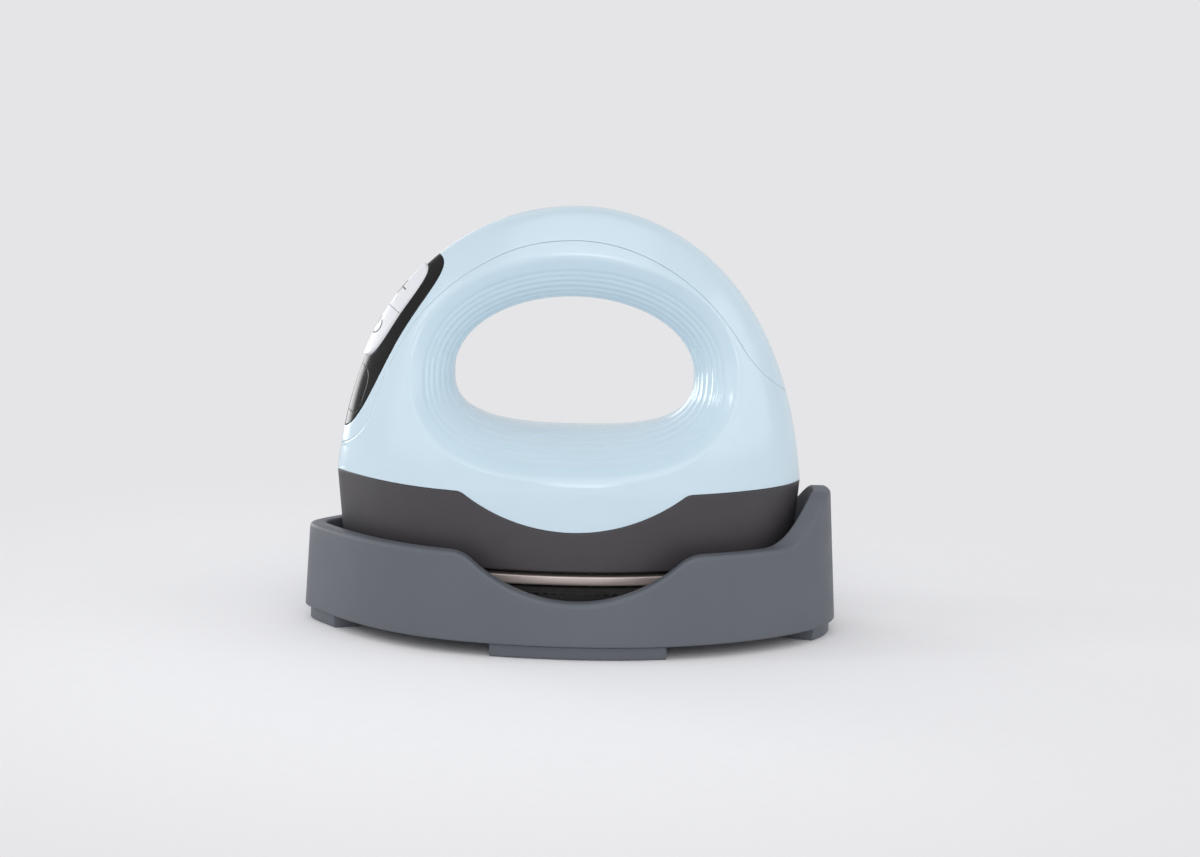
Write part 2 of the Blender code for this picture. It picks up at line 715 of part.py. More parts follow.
def build_cradle(parts, cutters, material):
    """Tray with a drafted wall, arched windows, a raised heel wall and a hollow underside."""
    shell = loft("cradle_shell", [cradle_ring(0.0, FOOT_HEIGHT), cradle_ring(0.0, HEEL_WALL_HEIGHT)], parts)
    well = as_cutter(loft("cradle_well", [cradle_ring(CRADLE_WALL, CRADLE_FLOOR_TOP),
                                          cradle_ring(CRADLE_WALL, HEEL_WALL_HEIGHT + OVERRUN)], cutters))
    underside_top = CRADLE_FLOOR_TOP - CRADLE_FLOOR_THICKNESS
    underside = as_cutter(loft("cradle_underside", [upright_cradle_ring(CRADLE_SEAT_WIDTH, -OVERRUN),
                                                    upright_cradle_ring(CRADLE_SEAT_WIDTH, underside_top)],
                               cutters))
    span = CRADLE_NOSE_LENGTH + OVERRUN
    sky = HEEL_WALL_HEIGHT + OVERRUN
    rim = arched_line(RIM_HEIGHT, WINDOW_CENTRE_X, WINDOW_BOTTOM, WINDOW_RADIUS, WINDOW_SHOULDER_RADIUS)
    rim = [(-span, RIM_HEIGHT)] + rim
    rim += [(HEEL_WALL_START_X, RIM_HEIGHT), (HEEL_WALL_START_X, sky), (-span, sky)]
    over_rim = as_cutter(side_prism("cradle_over_rim", rim, CRADLE_WIDTH + OVERRUN, cutters))
    modify(shell, well, "DIFFERENCE")
    modify(shell, underside, "DIFFERENCE")
    modify(shell, over_rim, "DIFFERENCE")
    for side, label in ((-1, "front"), (1, "back")):
        outline = heel_wall_outline(side)
        length = CRADLE_HEEL_LENGTH + OVERRUN
        centre = (HEEL_WALL_START_X + length / 2 - CLEARANCE, 0.0, 0.0)
        beside = prism("cradle_beside_heel_" + label, outline, length, cutters, centre, ACROSS_X)
        modify(shell, as_cutter(beside), "DIFFERENCE")
    for x, y in foot_peg_places():
        hole = cylinder("foot_hole", FOOT_PEG_RADIUS + CLEARANCE, 2 * (FOOT_PEG_LENGTH + CLEARANCE),
                        (x, y, FOOT_HEIGHT), cutters)
        modify(shell, as_cutter(hole), "DIFFERENCE")
    return finish(shell, material)


def heel_wall_outline(side):
    """What is cut away beside the raised heel wall, seen along X as (y, z)."""
    outline = []
    run = HEEL_WALL_FOOT_HALF_WIDTH - HEEL_WALL_FLAT_HALF_WIDTH
    for step in range(ARC_STEPS + 1):
        share = step / ARC_STEPS
        blend = 0.5 - 0.5 * math.cos(math.pi * share)
        y = HEEL_WALL_FLAT_HALF_WIDTH + run * share
        outline.append((side * y, HEEL_WALL_HEIGHT + (RIM_HEIGHT - HEEL_WALL_HEIGHT) * blend))
    far = CRADLE_WIDTH / 2 + OVERRUN
    sky = HEEL_WALL_HEIGHT + OVERRUN
    outline += [(side * far, RIM_HEIGHT), (side * far, sky), (side * HEEL_WALL_FLAT_HALF_WIDTH, sky)]
    return outline


def band_y(x, inset):
    """How far from the mid-plane the cradle's foot outline lies at a place along X."""
    length = CRADLE_HEEL_LENGTH if x > CRADLE_PEAK_X else CRADLE_NOSE_LENGTH
    along = abs(x - CRADLE_PEAK_X) / (length - inset)
    if x > CRADLE_PEAK_X:
        taper = 1.0 - HEEL_TAPER_SHARE * along ** HEEL_TAPER_POWER
    else:
        taper = 1.0 - NOSE_TAPER_SHARE * along ** NOSE_TAPER_POWER
    return (CRADLE_WIDTH / 2 - inset) * math.sqrt(1.0 - along ** 2) * taper


def foot_peg_places():
    """Where the feet's pegs stand: two for each long foot, one for each end foot."""
    middle = (FRONT_FOOT_START_X + FRONT_FOOT_END_X) / 2
    inset = FOOT_INSET + FOOT_BAND / 2
    places = []
    for side in (-1, 1):
        for end in (-1, 1):
            x = middle + end * FOOT_PEG_SPACING / 2
            places.append((x, side * band_y(x, inset)))
    places.append((CRADLE_PEAK_X - CRADLE_NOSE_LENGTH + inset, 0.0))
    places.append((CRADLE_PEAK_X + CRADLE_HEEL_LENGTH - inset, 0.0))
    return places


def build_feet(parts, cutters, material):
    """Four feet under the wall: one along each side, and one at each end."""
    top = FOOT_HEIGHT - CLEARANCE
    peg_bottom = top / 2
    peg_top = top + FOOT_PEG_LENGTH
    ring = as_cutter(loft("foot_ring", [upright_cradle_ring(FOOT_INSET, 0.0),
                                        upright_cradle_ring(FOOT_INSET, top)], cutters))
    hollow = as_cutter(loft("foot_hollow", [upright_cradle_ring(FOOT_INSET + FOOT_BAND, -OVERRUN),
                                            upright_cradle_ring(FOOT_INSET + FOOT_BAND, OVERRUN)], cutters))
    modify(ring, hollow, "DIFFERENCE")
    wide = CRADLE_WIDTH
    side_length = FRONT_FOOT_END_X - FRONT_FOOT_START_X
    side_x = (FRONT_FOOT_START_X + FRONT_FOOT_END_X) / 2
    end_length = CRADLE_NOSE_LENGTH
    zones = {
        "foot_front": ((side_length, wide, wide), (side_x, -wide / 2, 0.0)),
        "foot_back": ((side_length, wide, wide), (side_x, wide / 2, 0.0)),
        "foot_nose": ((end_length, wide, wide), (NOSE_FOOT_END_X - end_length / 2, 0.0, 0.0)),
        "foot_heel": ((end_length, wide, wide), (HEEL_FOOT_START_X + end_length / 2, 0.0, 0.0)),
    }
    pegs = foot_peg_places()
    peg_sets = (pegs[0:2], pegs[2:4], pegs[4:5], pegs[5:6])
    for (name, (size, centre)), places in zip(zones.items(), peg_sets):
        foot = copy_of(ring, name, parts)
        modify(foot, as_cutter(box(name + "_zone", size, centre, cutters)), "INTERSECT")
        for x, y in places:
            peg = cylinder(name + "_peg", FOOT_PEG_RADIUS, peg_top - peg_bottom,
                           (x, y, (peg_bottom + peg_top) / 2), cutters)
            modify(foot, as_cutter(peg), "UNION")
        finish(foot, material)


def build_pad(parts, cutters, material):
    """Heat-proof pad on the cradle's floor."""
    inset = CRADLE_WALL + PAD_INSET
    rings = [cradle_ring(inset, CRADLE_FLOOR_TOP + CLEARANCE), cradle_ring(inset, PAD_TOP)]
    return finish(loft("rest_pad", rings, parts), material)


def plate_places():
    """The four places where the plate is screwed to the web."""
    return [(x, y) for x in (-PLATE_POST_X, PLATE_POST_X) for y in (-PLATE_POST_Y, PLATE_POST_Y)]


def heater_lead_places():
    """Where the heating sheet's two leads stand."""
    return [(HEATER_LEAD_X, side * HEATER_LEAD_SPACING / 2) for side in (-1, 1)]


def build_hot_part(parts, cutters, finishes):
    """Plate, ring, heating sheet, clamp plate, sensors, spacers and screws."""
    ring_inset = SHELL_WALL + 2 * CLEARANCE
    block_inset = ring_inset + RING_WIDTH + CLEARANCE
    plate = loft("heating_plate", [skirt_ring(PLATE_INSET + PLATE_EDGE_CHAMFER, PLATE_BOTTOM),
                                   skirt_ring(PLATE_INSET, PLATE_BOTTOM + PLATE_EDGE_CHAMFER),
                                   skirt_ring(PLATE_INSET, PLATE_FLANGE_TOP),
                                   skirt_ring(block_inset, PLATE_FLANGE_TOP),
                                   skirt_ring(block_inset, PLATE_TOP)], parts)
    for x, y in plate_places():
        hole = cylinder("plate_hole", PLATE_SCREW_RADIUS + CLEARANCE, 2 * (PLATE_SCREW_DEPTH + CLEARANCE),
                        (x, y, PLATE_TOP), cutters)
        modify(plate, as_cutter(hole), "DIFFERENCE")
    finish(plate, finishes["plate"])

    ring_bottom = PLATE_FLANGE_TOP + CLEARANCE
    ring = loft("gap_ring", [skirt_ring(ring_inset, ring_bottom), skirt_ring(ring_inset, RING_TOP)], parts)
    heights = (ring_bottom - OVERRUN, RING_TOP + OVERRUN)
    inner_rings = [skirt_ring(ring_inset + RING_WIDTH, z) for z in heights]
    modify(ring, as_cutter(loft("gap_ring_inside", inner_rings, cutters)), "DIFFERENCE")
    finish(ring, finishes["black"])
    build_heater(parts, cutters, finishes)
    build_plate_posts(parts, cutters, finishes)


def build_heater(parts, cutters, finishes):
    """The heating sheet, the plate that clamps it, and the fuse and sensor on that plate."""
    sheet_bottom = PLATE_TOP + CLEARANCE
    outline = rounded_rectangle(SHEET_LENGTH, SHEET_WIDTH, SHEET_CORNER_RADIUS)
    middle = (0.0, 0.0, sheet_bottom + SHEET_THICKNESS / 2)
    sheet = prism("heater_sheet", outline, SHEET_THICKNESS, parts, middle)
    finish(sheet, finishes["mica"])
    clamp_bottom = sheet_bottom + SHEET_THICKNESS + CLEARANCE
    outline = rounded_rectangle(SHEET_LENGTH - 2 * CLAMP_MARGIN, SHEET_WIDTH - 2 * CLAMP_MARGIN,
                                SHEET_CORNER_RADIUS - CLAMP_MARGIN)
    middle = (0.0, 0.0, clamp_bottom + CLAMP_THICKNESS / 2)
    clamp = prism("clamp_plate", outline, CLAMP_THICKNESS, parts, middle)
    for x, y in heater_lead_places():
        hole = cylinder("clamp_hole", LEAD_RADIUS + CLEARANCE, OVERRUN, (x, y, clamp_bottom), cutters)
        modify(clamp, as_cutter(hole), "DIFFERENCE")
    finish(clamp, finishes["steel"])
    seat = clamp_bottom + CLAMP_THICKNESS + CLEARANCE
    link = cylinder("thermal_fuse", FUSE_LINK_RADIUS, FUSE_LINK_LENGTH,
                    (FUSE_LINK_X, FUSE_LINK_Y, seat + FUSE_LINK_RADIUS), parts, ALONG_X)
    finish(link, finishes["steel"])
    sensor = cylinder("temperature_sensor", SENSOR_RADIUS, SENSOR_LENGTH,
                      (SENSOR_X, SENSOR_Y, seat + SENSOR_RADIUS), parts, ALONG_X)
    finish(sensor, finishes["ceramic"])


def build_plate_posts(parts, cutters, finishes):
    """The spacers between the plate and the skirt's web, each with its screw."""
    low = PLATE_TOP + CLEARANCE
    high = WEB_BOTTOM - CLEARANCE
    seat = WEB_TOP + CLEARANCE
    for number, (x, y) in enumerate(plate_places(), start=1):
        centre = (x, y, (low + high) / 2)
        post = cylinder("plate_post_%d" % number, PLATE_POST_RADIUS, high - low, centre, parts)
        bore = cylinder("plate_post_bore", PLATE_SCREW_RADIUS + CLEARANCE, high - low + OVERRUN, centre,
                        cutters)
        modify(post, as_cutter(bore), "DIFFERENCE")
        finish(post, finishes["ceramic"])
        build_screw("plate_screw_%d" % number, (x, y, seat), (0.0, 0.0, 0.0), PLATE_SCREW_RADIUS,
                    seat - PLATE_TOP + PLATE_SCREW_DEPTH, SCREW_HEAD_RADIUS, SCREW_HEAD_HEIGHT,
                    parts, finishes["steel"])


def build_screw(name, seat, rotation, radius, reach, head_radius, head_height, parts, material):
    """A turned screw: its head stands on the seat and its shank reaches down local -Z."""
    tip = radius * SCREW_TIP_SHARE
    profile = [(0.0, head_height), (head_radius * SCREW_HEAD_TOP_SHARE, head_height),
               (head_radius, head_height * SCREW_HEAD_SIDE_SHARE), (head_radius, 0.0), (radius, 0.0),
               (radius, tip - reach), (tip, -reach), (0.0, -reach)]
    mesh = bpy.data.meshes.new(name)
    mesh.from_pydata([(x, 0.0, z) for x, z in profile], [(i, i + 1) for i in range(len(profile) - 1)], [])
    screw = add_object(name, mesh, parts)
    screw.location = seat
    screw.rotation_euler = rotation
    turn = screw.modifiers.new("turn", "SCREW")
    turn.axis = "Z"
    turn.steps = ROUND_POINTS // 2
    turn.render_steps = ROUND_POINTS // 2
    turn.use_merge_vertices = True
    turn.merge_threshold = WELD_DISTANCE
    bpy.context.view_layer.update()
    return finish(screw, material)


def rounded_rectangle(length, width, radius):
    """A rectangle about the origin with round corners."""
    outline = []
    for corner in range(4):
        sign_x = (1, -1, -1, 1)[corner]
        sign_y = (1, 1, -1, -1)[corner]
        for step in range(ARC_STEPS // 2 + 1):
            angle = math.radians(90.0) * (corner + step / (ARC_STEPS // 2))
            outline.append((sign_x * (length / 2 - radius) + radius * math.cos(angle),
                            sign_y * (width / 2 - radius) + radius * math.sin(angle)))
    return outline


def below_parting(name, lowered, group):
    """Everything under the line between skirt and shells, with that line lowered a little."""
    line = arched_line(PARTING_HEIGHT - lowered, DIP_CENTRE_X, DIP_BOTTOM - lowered, DIP_RADIUS,
                       DIP_SHOULDER_RADIUS)
    span = BODY_NOSE_LENGTH + OVERRUN
    outline = [(-span, 0.0), (-span, PARTING_HEIGHT - lowered)] + line
    outline += [(span, PARTING_HEIGHT - lowered), (span, 0.0)]
    return as_cutter(side_prism(name, outline, BODY_WIDTH + OVERRUN, group))


def build_skirt(parts, cutters, material):
    """Dark housing ring with an inner web, posts for the mains board and holes for the plate screws."""
    skirt = body_form("skirt", 0.0, SKIRT_BOTTOM, parts)
    skirt.hide_render = False
    skirt.display_type = "TEXTURED"
    modify(skirt, below_parting("skirt_zone", CLEARANCE / 2, cutters), "INTERSECT")
    lower = as_cutter(loft("skirt_lower_well", [skirt_ring(SHELL_WALL, SKIRT_BOTTOM - OVERRUN),
                                                skirt_ring(SHELL_WALL, WEB_BOTTOM)], cutters))
    upper = as_cutter(loft("skirt_upper_well", [skirt_ring(SHELL_WALL, WEB_TOP),
                                                skirt_ring(SHELL_WALL, WAIST_HEIGHT + OVERRUN)], cutters))
    modify(skirt, lower, "DIFFERENCE")
    modify(skirt, upper, "DIFFERENCE")
    window = box("web_window", (WEB_WINDOW_LENGTH, WEB_WINDOW_WIDTH, OVERRUN), (0.0, 0.0, WEB_TOP), cutters)
    modify(skirt, as_cutter(window), "DIFFERENCE")
    for x, y in plate_places():
        hole = cylinder("web_hole", PLATE_SCREW_RADIUS + CLEARANCE, OVERRUN, (x, y, WEB_TOP), cutters)
        modify(skirt, as_cutter(hole), "DIFFERENCE")
    post_top = MAINS_BOARD_BOTTOM - CLEARANCE
    post_bottom = (WEB_BOTTOM + WEB_TOP) / 2
    for x in (-MAINS_POST_X, MAINS_POST_X):
        for y in (-MAINS_POST_Y, MAINS_POST_Y):
            post = cylinder("mains_post", MAINS_POST_RADIUS, post_top - post_bottom,
                            (x, y, (post_top + post_bottom) / 2), cutters)
            modify(skirt, as_cutter(post), "UNION")
    return finish(skirt, material)


def spine_zone(name, growth, inner_growth, cutters):
    """The strip over the handle, its outer wall only, as a cutter or as the strip's own blank.

    Where the flare of the hand hole comes close to the strip, a thin skin of the shell is left between them.
    """
    wide = SPINE_WIDTH / 2 + growth
    far = BODY_NOSE_LENGTH + OVERRUN
    sky = WAIST_HEIGHT + DOME_HEIGHT + OVERRUN
    wide_z = WAIST_HEIGHT + SPINE_WIDE_SHARE * DOME_HEIGHT
    narrow_z = WAIST_HEIGHT + SPINE_NARROW_SHARE * DOME_HEIGHT
    zone = None
    for end_z, half, sign in ((SPINE_NOSE_END_Z, SPINE_NOSE_WIDTH / 2 + growth, -1),
                              (SPINE_HEEL_END_Z, wide, 1)):
        outline = [(wide, wide_z), (wide, sky), (-wide, sky), (-wide, wide_z), (-half, narrow_z)]
        for step in range(ARC_STEPS * 2):
            angle = math.pi + math.pi * step / (ARC_STEPS * 2 - 1)
            outline.append((half * math.cos(angle), end_z + half * math.sin(angle)))
        outline.append((half, narrow_z))
        reach = far + CLEARANCE
        centre = (BODY_CENTRE_X + sign * (reach / 2 - CLEARANCE), 0.0, 0.0)
        label = name + ("_nose" if sign < 0 else "_heel")
        piece = as_cutter(prism(label, outline, reach, cutters, centre, ACROSS_X))
        if zone is None:
            zone = piece
        else:
            modify(zone, piece, "UNION")
    inside = body_form(name + "_inside", SHELL_WALL + inner_growth, SKIRT_BOTTOM, cutters)
    modify(zone, inside, "DIFFERENCE")
    modify(zone, hole_form(name + "_flare", FLARE_SKIN - growth, cutters), "DIFFERENCE", "MANIFOLD")
    zone.name = name
    return zone


def shell_screw_places():
    """Places of the screws that join the shells, in the side view."""
    return [(NOSE_SCREW_X, NOSE_SCREW_Z), (HEEL_SCREW_X, HEEL_SCREW_Z)]


def build_blue_body(cutters):
    """The hollow body above the skirt, before it is split into its two shells and the spine strip."""
    body = body_form("blue_body", 0.0, SKIRT_BOTTOM, cutters)
    cavity = body_form("body_cavity", SHELL_WALL, SKIRT_BOTTOM - OVERRUN, cutters)
    modify(cavity, hole_form("hole_wall", SHELL_WALL, cutters), "DIFFERENCE")
    modify(body, hole_form("hand_hole", 0.0, cutters), "DIFFERENCE")
    modify(body, below_parting("skirt_cut", -CLEARANCE / 2, cutters), "DIFFERENCE")
    modify(body, cavity, "DIFFERENCE")
    limit = body_form("boss_limit", SHELL_WALL / 2, SKIRT_BOTTOM, cutters)
    flare = hole_form("boss_flare", SHELL_WALL / 2, cutters)
    for x, z in shell_screw_places():
        boss = cylinder("shell_boss", SHELL_BOSS_RADIUS, BODY_WIDTH, (x, 0.0, z), cutters, ALONG_Y)
        modify(boss, limit, "INTERSECT")
        modify(boss, flare, "DIFFERENCE")
        modify(body, as_cutter(boss), "UNION")
    return body


def inlet_outline(growth):
    """The upright long round outline of the mains inlet, as (y, z) about its centre."""
    radius = INLET_LOBE_RADIUS + growth
    offset = INLET_LOBE_SPACING / 2
    outline = []
    for sign in (1, -1):
        for step in range(ARC_STEPS + 1):
            angle = math.pi * step / ARC_STEPS
            outline.append((sign * radius * math.cos(angle), sign * (offset + radius * math.sin(angle))))
    return outline


def build_shells(blue, parts, cutters, material):
    """Front and back shell: the blue body split down the middle, with bosses for the screws."""
    spine_cut = spine_zone("spine_cut", 0.0, CLEARANCE, cutters)
    start = INLET_FACE_X - INLET_RECESS_DEPTH
    end = BODY_CENTRE_X + BODY_HEEL_LENGTH + OVERRUN
    inlet_cut = prism("inlet_cut", inlet_outline(CLEARANCE), end - start, cutters,
                      ((start + end) / 2, INLET_Y, INLET_Z), ACROSS_X)
    for side, name in ((-1, "front_shell"), (1, "back_shell")):
        shell = copy_of(blue, name, parts)
        modify(shell, spine_cut, "DIFFERENCE")
        half = box(name + "_half", (2 * BODY_LENGTH, BODY_WIDTH, 2 * BODY_TOP + OVERRUN),
                   (0.0, -side * (BODY_WIDTH - CLEARANCE) / 2, 0.0), cutters)
        modify(shell, as_cutter(half), "DIFFERENCE")
        if side > 0:
            modify(shell, as_cutter(inlet_cut), "DIFFERENCE")
        for x, z in shell_screw_places():
            cut_screw_way(shell, name, side, x, z, cutters)
        finish(shell, material)


def cut_screw_way(shell, name, side, x, z, cutters):
    """A blind pilot hole in the front shell, or a stepped hole with room for the head in the back shell."""
    radius = SHELL_SCREW_RADIUS + CLEARANCE
    if side < 0:
        depth = SHELL_SCREW_REACH + CLEARANCE
        pilot = cylinder(name + "_pilot", radius, 2 * depth, (x, 0.0, z), cutters, ALONG_Y)
        modify(shell, as_cutter(pilot), "DIFFERENCE")
        return
    way = cylinder(name + "_way", radius, 2 * (SHELL_SCREW_SEAT_Y + OVERRUN), (x, 0.0, z), cutters, ALONG_Y)
    room = cylinder(name + "_room", SHELL_SCREW_HEAD_RADIUS + CLEARANCE, BODY_WIDTH,
                    (x, SHELL_SCREW_SEAT_Y + BODY_WIDTH / 2, z), cutters, ALONG_Y)
    modify(shell, as_cutter(way), "DIFFERENCE", "MANIFOLD")
    modify(shell, as_cutter(room), "DIFFERENCE", "MANIFOLD")


def build_shell_screws(parts, material):
    """The two screws that go in from the back."""
    seat_y = SHELL_SCREW_SEAT_Y + CLEARANCE
    for number, (x, z) in enumerate(shell_screw_places(), start=1):
        build_screw("shell_screw_%d" % number, (x, seat_y, z), (-math.radians(90.0), 0.0, 0.0),
                    SHELL_SCREW_RADIUS, SHELL_SCREW_SEAT_Y + SHELL_SCREW_REACH, SHELL_SCREW_HEAD_RADIUS,
                    SHELL_SCREW_HEAD_HEIGHT, parts, material)


def build_spine(bezel_hole, parts, cutters, material):
    """The strip that closes the handle and runs down beside the panel."""
    spine = body_form("spine_cover", 0.0, SKIRT_BOTTOM, parts)
    spine.hide_render = False
    spine.display_type = "TEXTURED"
    modify(spine, spine_zone("spine_keep", -CLEARANCE, 0.0, cutters), "INTERSECT")
    modify(spine, bezel_hole, "DIFFERENCE", "MANIFOLD")
    return finish(spine, material)


def caps_outline(growth, upper):
    """Outline of the upper or the lower cap, grown a little, with the gap between the caps kept."""
    outline = oval(CAPS_CENTRE_U, CAPS_LENGTH, CAPS_WIDTH, CAPS_UPPER_POWER, CAPS_LOWER_POWER, growth)
    limit = CAPS_DIVIDE_U + (CLEARANCE / 2 if upper else -CLEARANCE / 2)
    return clip_outline(outline, limit, upper)


def pane_outline(growth):
    """Outline of the display window."""
    return oval(WINDOW_PANE_CENTRE_U, WINDOW_PANE_LENGTH, WINDOW_PANE_WIDTH, WINDOW_PANE_POWER,
                WINDOW_PANE_POWER, growth)


def body_layer(name, outline, outer_inset, inner_inset, group, cutters):
    """A layer of the body between two depths under its surface, inside an outline on the panel."""
    layer = body_form(name, outer_inset, SKIRT_BOTTOM, group)
    layer.hide_render = False
    layer.display_type = "TEXTURED"
    modify(layer, panel_prism(name + "_outline", outline, cutters), "INTERSECT")
    modify(layer, body_form(name + "_inside", inner_inset, SKIRT_BOTTOM - OVERRUN, cutters), "DIFFERENCE")
    modify(layer, nose_half(name + "_nose_half", cutters), "INTERSECT", "MANIFOLD")
    return layer


def build_panel(parts, cutters, finishes):
    """Black bezel with its posts, the two caps with their stems, and the display window."""
    bezel_outline = oval(BEZEL_CENTRE_U, BEZEL_LENGTH, BEZEL_WIDTH, BEZEL_UPPER_POWER, BEZEL_LOWER_POWER)
    bezel = body_layer("panel_bezel", bezel_outline, 0.0, PANEL_WALL, parts, cutters)
    board_front = -BOARD_DEPTH
    for end in (-1, 1):
        for side in (-1, 1):
            post = panel_cylinder("bezel_post", BEZEL_POST_RADIUS, BOARD_CENTRE_U + end * BEZEL_POST_U,
                                  side * BEZEL_POST_V, board_front + CLEARANCE, 0.0, cutters)
            modify(post, body_form("post_limit", PANEL_WALL / 2, SKIRT_BOTTOM, cutters), "INTERSECT")
            modify(bezel, as_cutter(post), "UNION", "MANIFOLD")
    whole_caps = oval(CAPS_CENTRE_U, CAPS_LENGTH, CAPS_WIDTH, CAPS_UPPER_POWER, CAPS_LOWER_POWER)
    modify(bezel, panel_prism("caps_hole", whole_caps, cutters), "DIFFERENCE")
    modify(bezel, panel_prism("pane_hole", pane_outline(0.0), cutters), "DIFFERENCE")
    finish(bezel, finishes["gloss_black"])

    pane = body_layer("display_window", pane_outline(-CLEARANCE), 0.0, WINDOW_PANE_THICKNESS, parts, cutters)
    finish(pane, finishes["window"])

    plunger_top = board_front + CLEARANCE + SWITCH_HEIGHT + PLUNGER_PROUD
    for name, upper, u in (("plus_button", True, PLUS_SWITCH_U), ("power_button", False, POWER_SWITCH_U)):
        cap = body_layer(name, caps_outline(-CLEARANCE, upper), -CAP_PROUD, CAP_WALL, parts, cutters)
        flange_top = PANEL_WALL + CLEARANCE
        flange = body_layer(name + "_flange", caps_outline(CAP_FLANGE_WIDTH, upper), flange_top,
                            flange_top + CAP_FLANGE_THICKNESS, cutters, cutters)
        modify(cap, as_cutter(flange), "UNION", "MANIFOLD")
        stem = panel_cylinder(name + "_stem", STEM_RADIUS, u, 0.0, plunger_top + CLEARANCE, 0.0, cutters)
        modify(stem, body_form("stem_limit", PANEL_WALL / 2, SKIRT_BOTTOM, cutters), "INTERSECT")
        modify(cap, as_cutter(stem), "UNION", "MANIFOLD")
        finish(cap, finishes["white"])


def build_control_board(parts, cutters, finishes):
    """Board behind the panel, with the display and the two push switches."""
    front = -BOARD_DEPTH
    outline = oval(0.0, BOARD_LENGTH, BOARD_WIDTH, BOARD_POWER, BOARD_POWER)
    middle = panel_place(BOARD_CENTRE_U, 0.0, front - BOARD_THICKNESS / 2)
    board = prism("control_board", outline, BOARD_THICKNESS, parts, middle, PANEL_ROTATION)
    finish(board, finishes["board"])
    seat = front + CLEARANCE
    display = panel_box("display_module", DISPLAY_LENGTH, DISPLAY_WIDTH, seat, seat + DISPLAY_HEIGHT,
                        WINDOW_PANE_CENTRE_U + (WINDOW_PANE_LENGTH - DISPLAY_LENGTH) / 2, 0.0, parts)
    finish(display, finishes["black"])
    for label, u in (("plus", PLUS_SWITCH_U), ("power", POWER_SWITCH_U)):
        top = seat + SWITCH_HEIGHT
        switch = panel_box(label + "_switch", SWITCH_SIZE, SWITCH_SIZE, seat, top, u, 0.0, parts)
        well = panel_cylinder(label + "_switch_well", PLUNGER_RADIUS + CLEARANCE, u, 0.0,
                              top - PLUNGER_SINK - CAP_TRAVEL - CLEARANCE, top + OVERRUN, cutters)
        modify(switch, as_cutter(well), "DIFFERENCE")
        finish(switch, finishes["black"])
        plunger = panel_cylinder(label + "_plunger", PLUNGER_RADIUS, u, 0.0, top - PLUNGER_SINK,
                                 top + PLUNGER_PROUD, parts)
        finish(plunger, finishes["white"])


def build_mains_board(parts, finishes):
    """Board in the base with its relay, capacitor, fuse and terminal block."""
    board = box("mains_board", (MAINS_BOARD_LENGTH, MAINS_BOARD_WIDTH, MAINS_BOARD_THICKNESS),
                (0.0, 0.0, MAINS_BOARD_BOTTOM + MAINS_BOARD_THICKNESS / 2), parts)
    finish(board, finishes["board"])
    seat = MAINS_BOARD_BOTTOM + MAINS_BOARD_THICKNESS + CLEARANCE
    relay = box("relay", (RELAY_LENGTH, RELAY_WIDTH, RELAY_HEIGHT), (RELAY_X, 0.0, seat + RELAY_HEIGHT / 2),
                parts)
    finish(relay, finishes["relay"])
    capacitor = cylinder("filter_capacitor", CAPACITOR_RADIUS, CAPACITOR_LENGTH,
                         (CAPACITOR_X, CAPACITOR_Y, seat + CAPACITOR_RADIUS), parts, ALONG_X)
    finish(capacitor, finishes["black"])
    fuse = cylinder("mains_fuse", FUSE_RADIUS, FUSE_LENGTH, (FUSE_X, FUSE_Y, seat + FUSE_RADIUS), parts,
                    ALONG_X)
    finish(fuse, finishes["ceramic"])
    terminal = box("terminal_block", (TERMINAL_LENGTH, TERMINAL_WIDTH, TERMINAL_HEIGHT),
                   (TERMINAL_X, 0.0, seat + TERMINAL_HEIGHT / 2), parts)
    finish(terminal, finishes["relay"])


def build_inlet(parts, cutters, finishes):
    """Mains inlet inside the heel, with an upright recess and two pins, one over the other."""
    back_x = INLET_FACE_X - INLET_DEPTH
    length = INLET_DEPTH + OVERRUN
    inlet = box("inlet", (length, INLET_BODY_WIDTH, INLET_BODY_HEIGHT),
                (back_x + length / 2, INLET_Y, INLET_Z), parts)
    modify(inlet, body_form("inlet_limit", SHELL_WALL + CLEARANCE, SKIRT_BOTTOM, cutters), "INTERSECT")
    recess = prism("inlet_recess", inlet_outline(0.0), 2 * INLET_RECESS_DEPTH, cutters,
                   (INLET_FACE_X, INLET_Y, INLET_Z), ACROSS_X)
    modify(inlet, as_cutter(recess), "DIFFERENCE")
    for side in (-1, 1):
        bore = cylinder("inlet_bore", INLET_PIN_RADIUS + CLEARANCE, 2 * INLET_DEPTH + OVERRUN,
                        (back_x, INLET_Y, INLET_Z + side * INLET_PIN_SPACING / 2), cutters, ALONG_X)
        modify(inlet, as_cutter(bore), "DIFFERENCE")
    finish(inlet, finishes["black"])
    tip = INLET_FACE_X - INLET_PIN_TIP_SETBACK
    start = back_x - INLET_TAB_LENGTH
    for number, side in ((1, -1), (2, 1)):
        pin = cylinder("inlet_pin_%d" % number, INLET_PIN_RADIUS, tip - start,
                       ((tip + start) / 2, INLET_Y, INLET_Z + side * INLET_PIN_SPACING / 2), parts, ALONG_X)
        finish(pin, finishes["brass"])


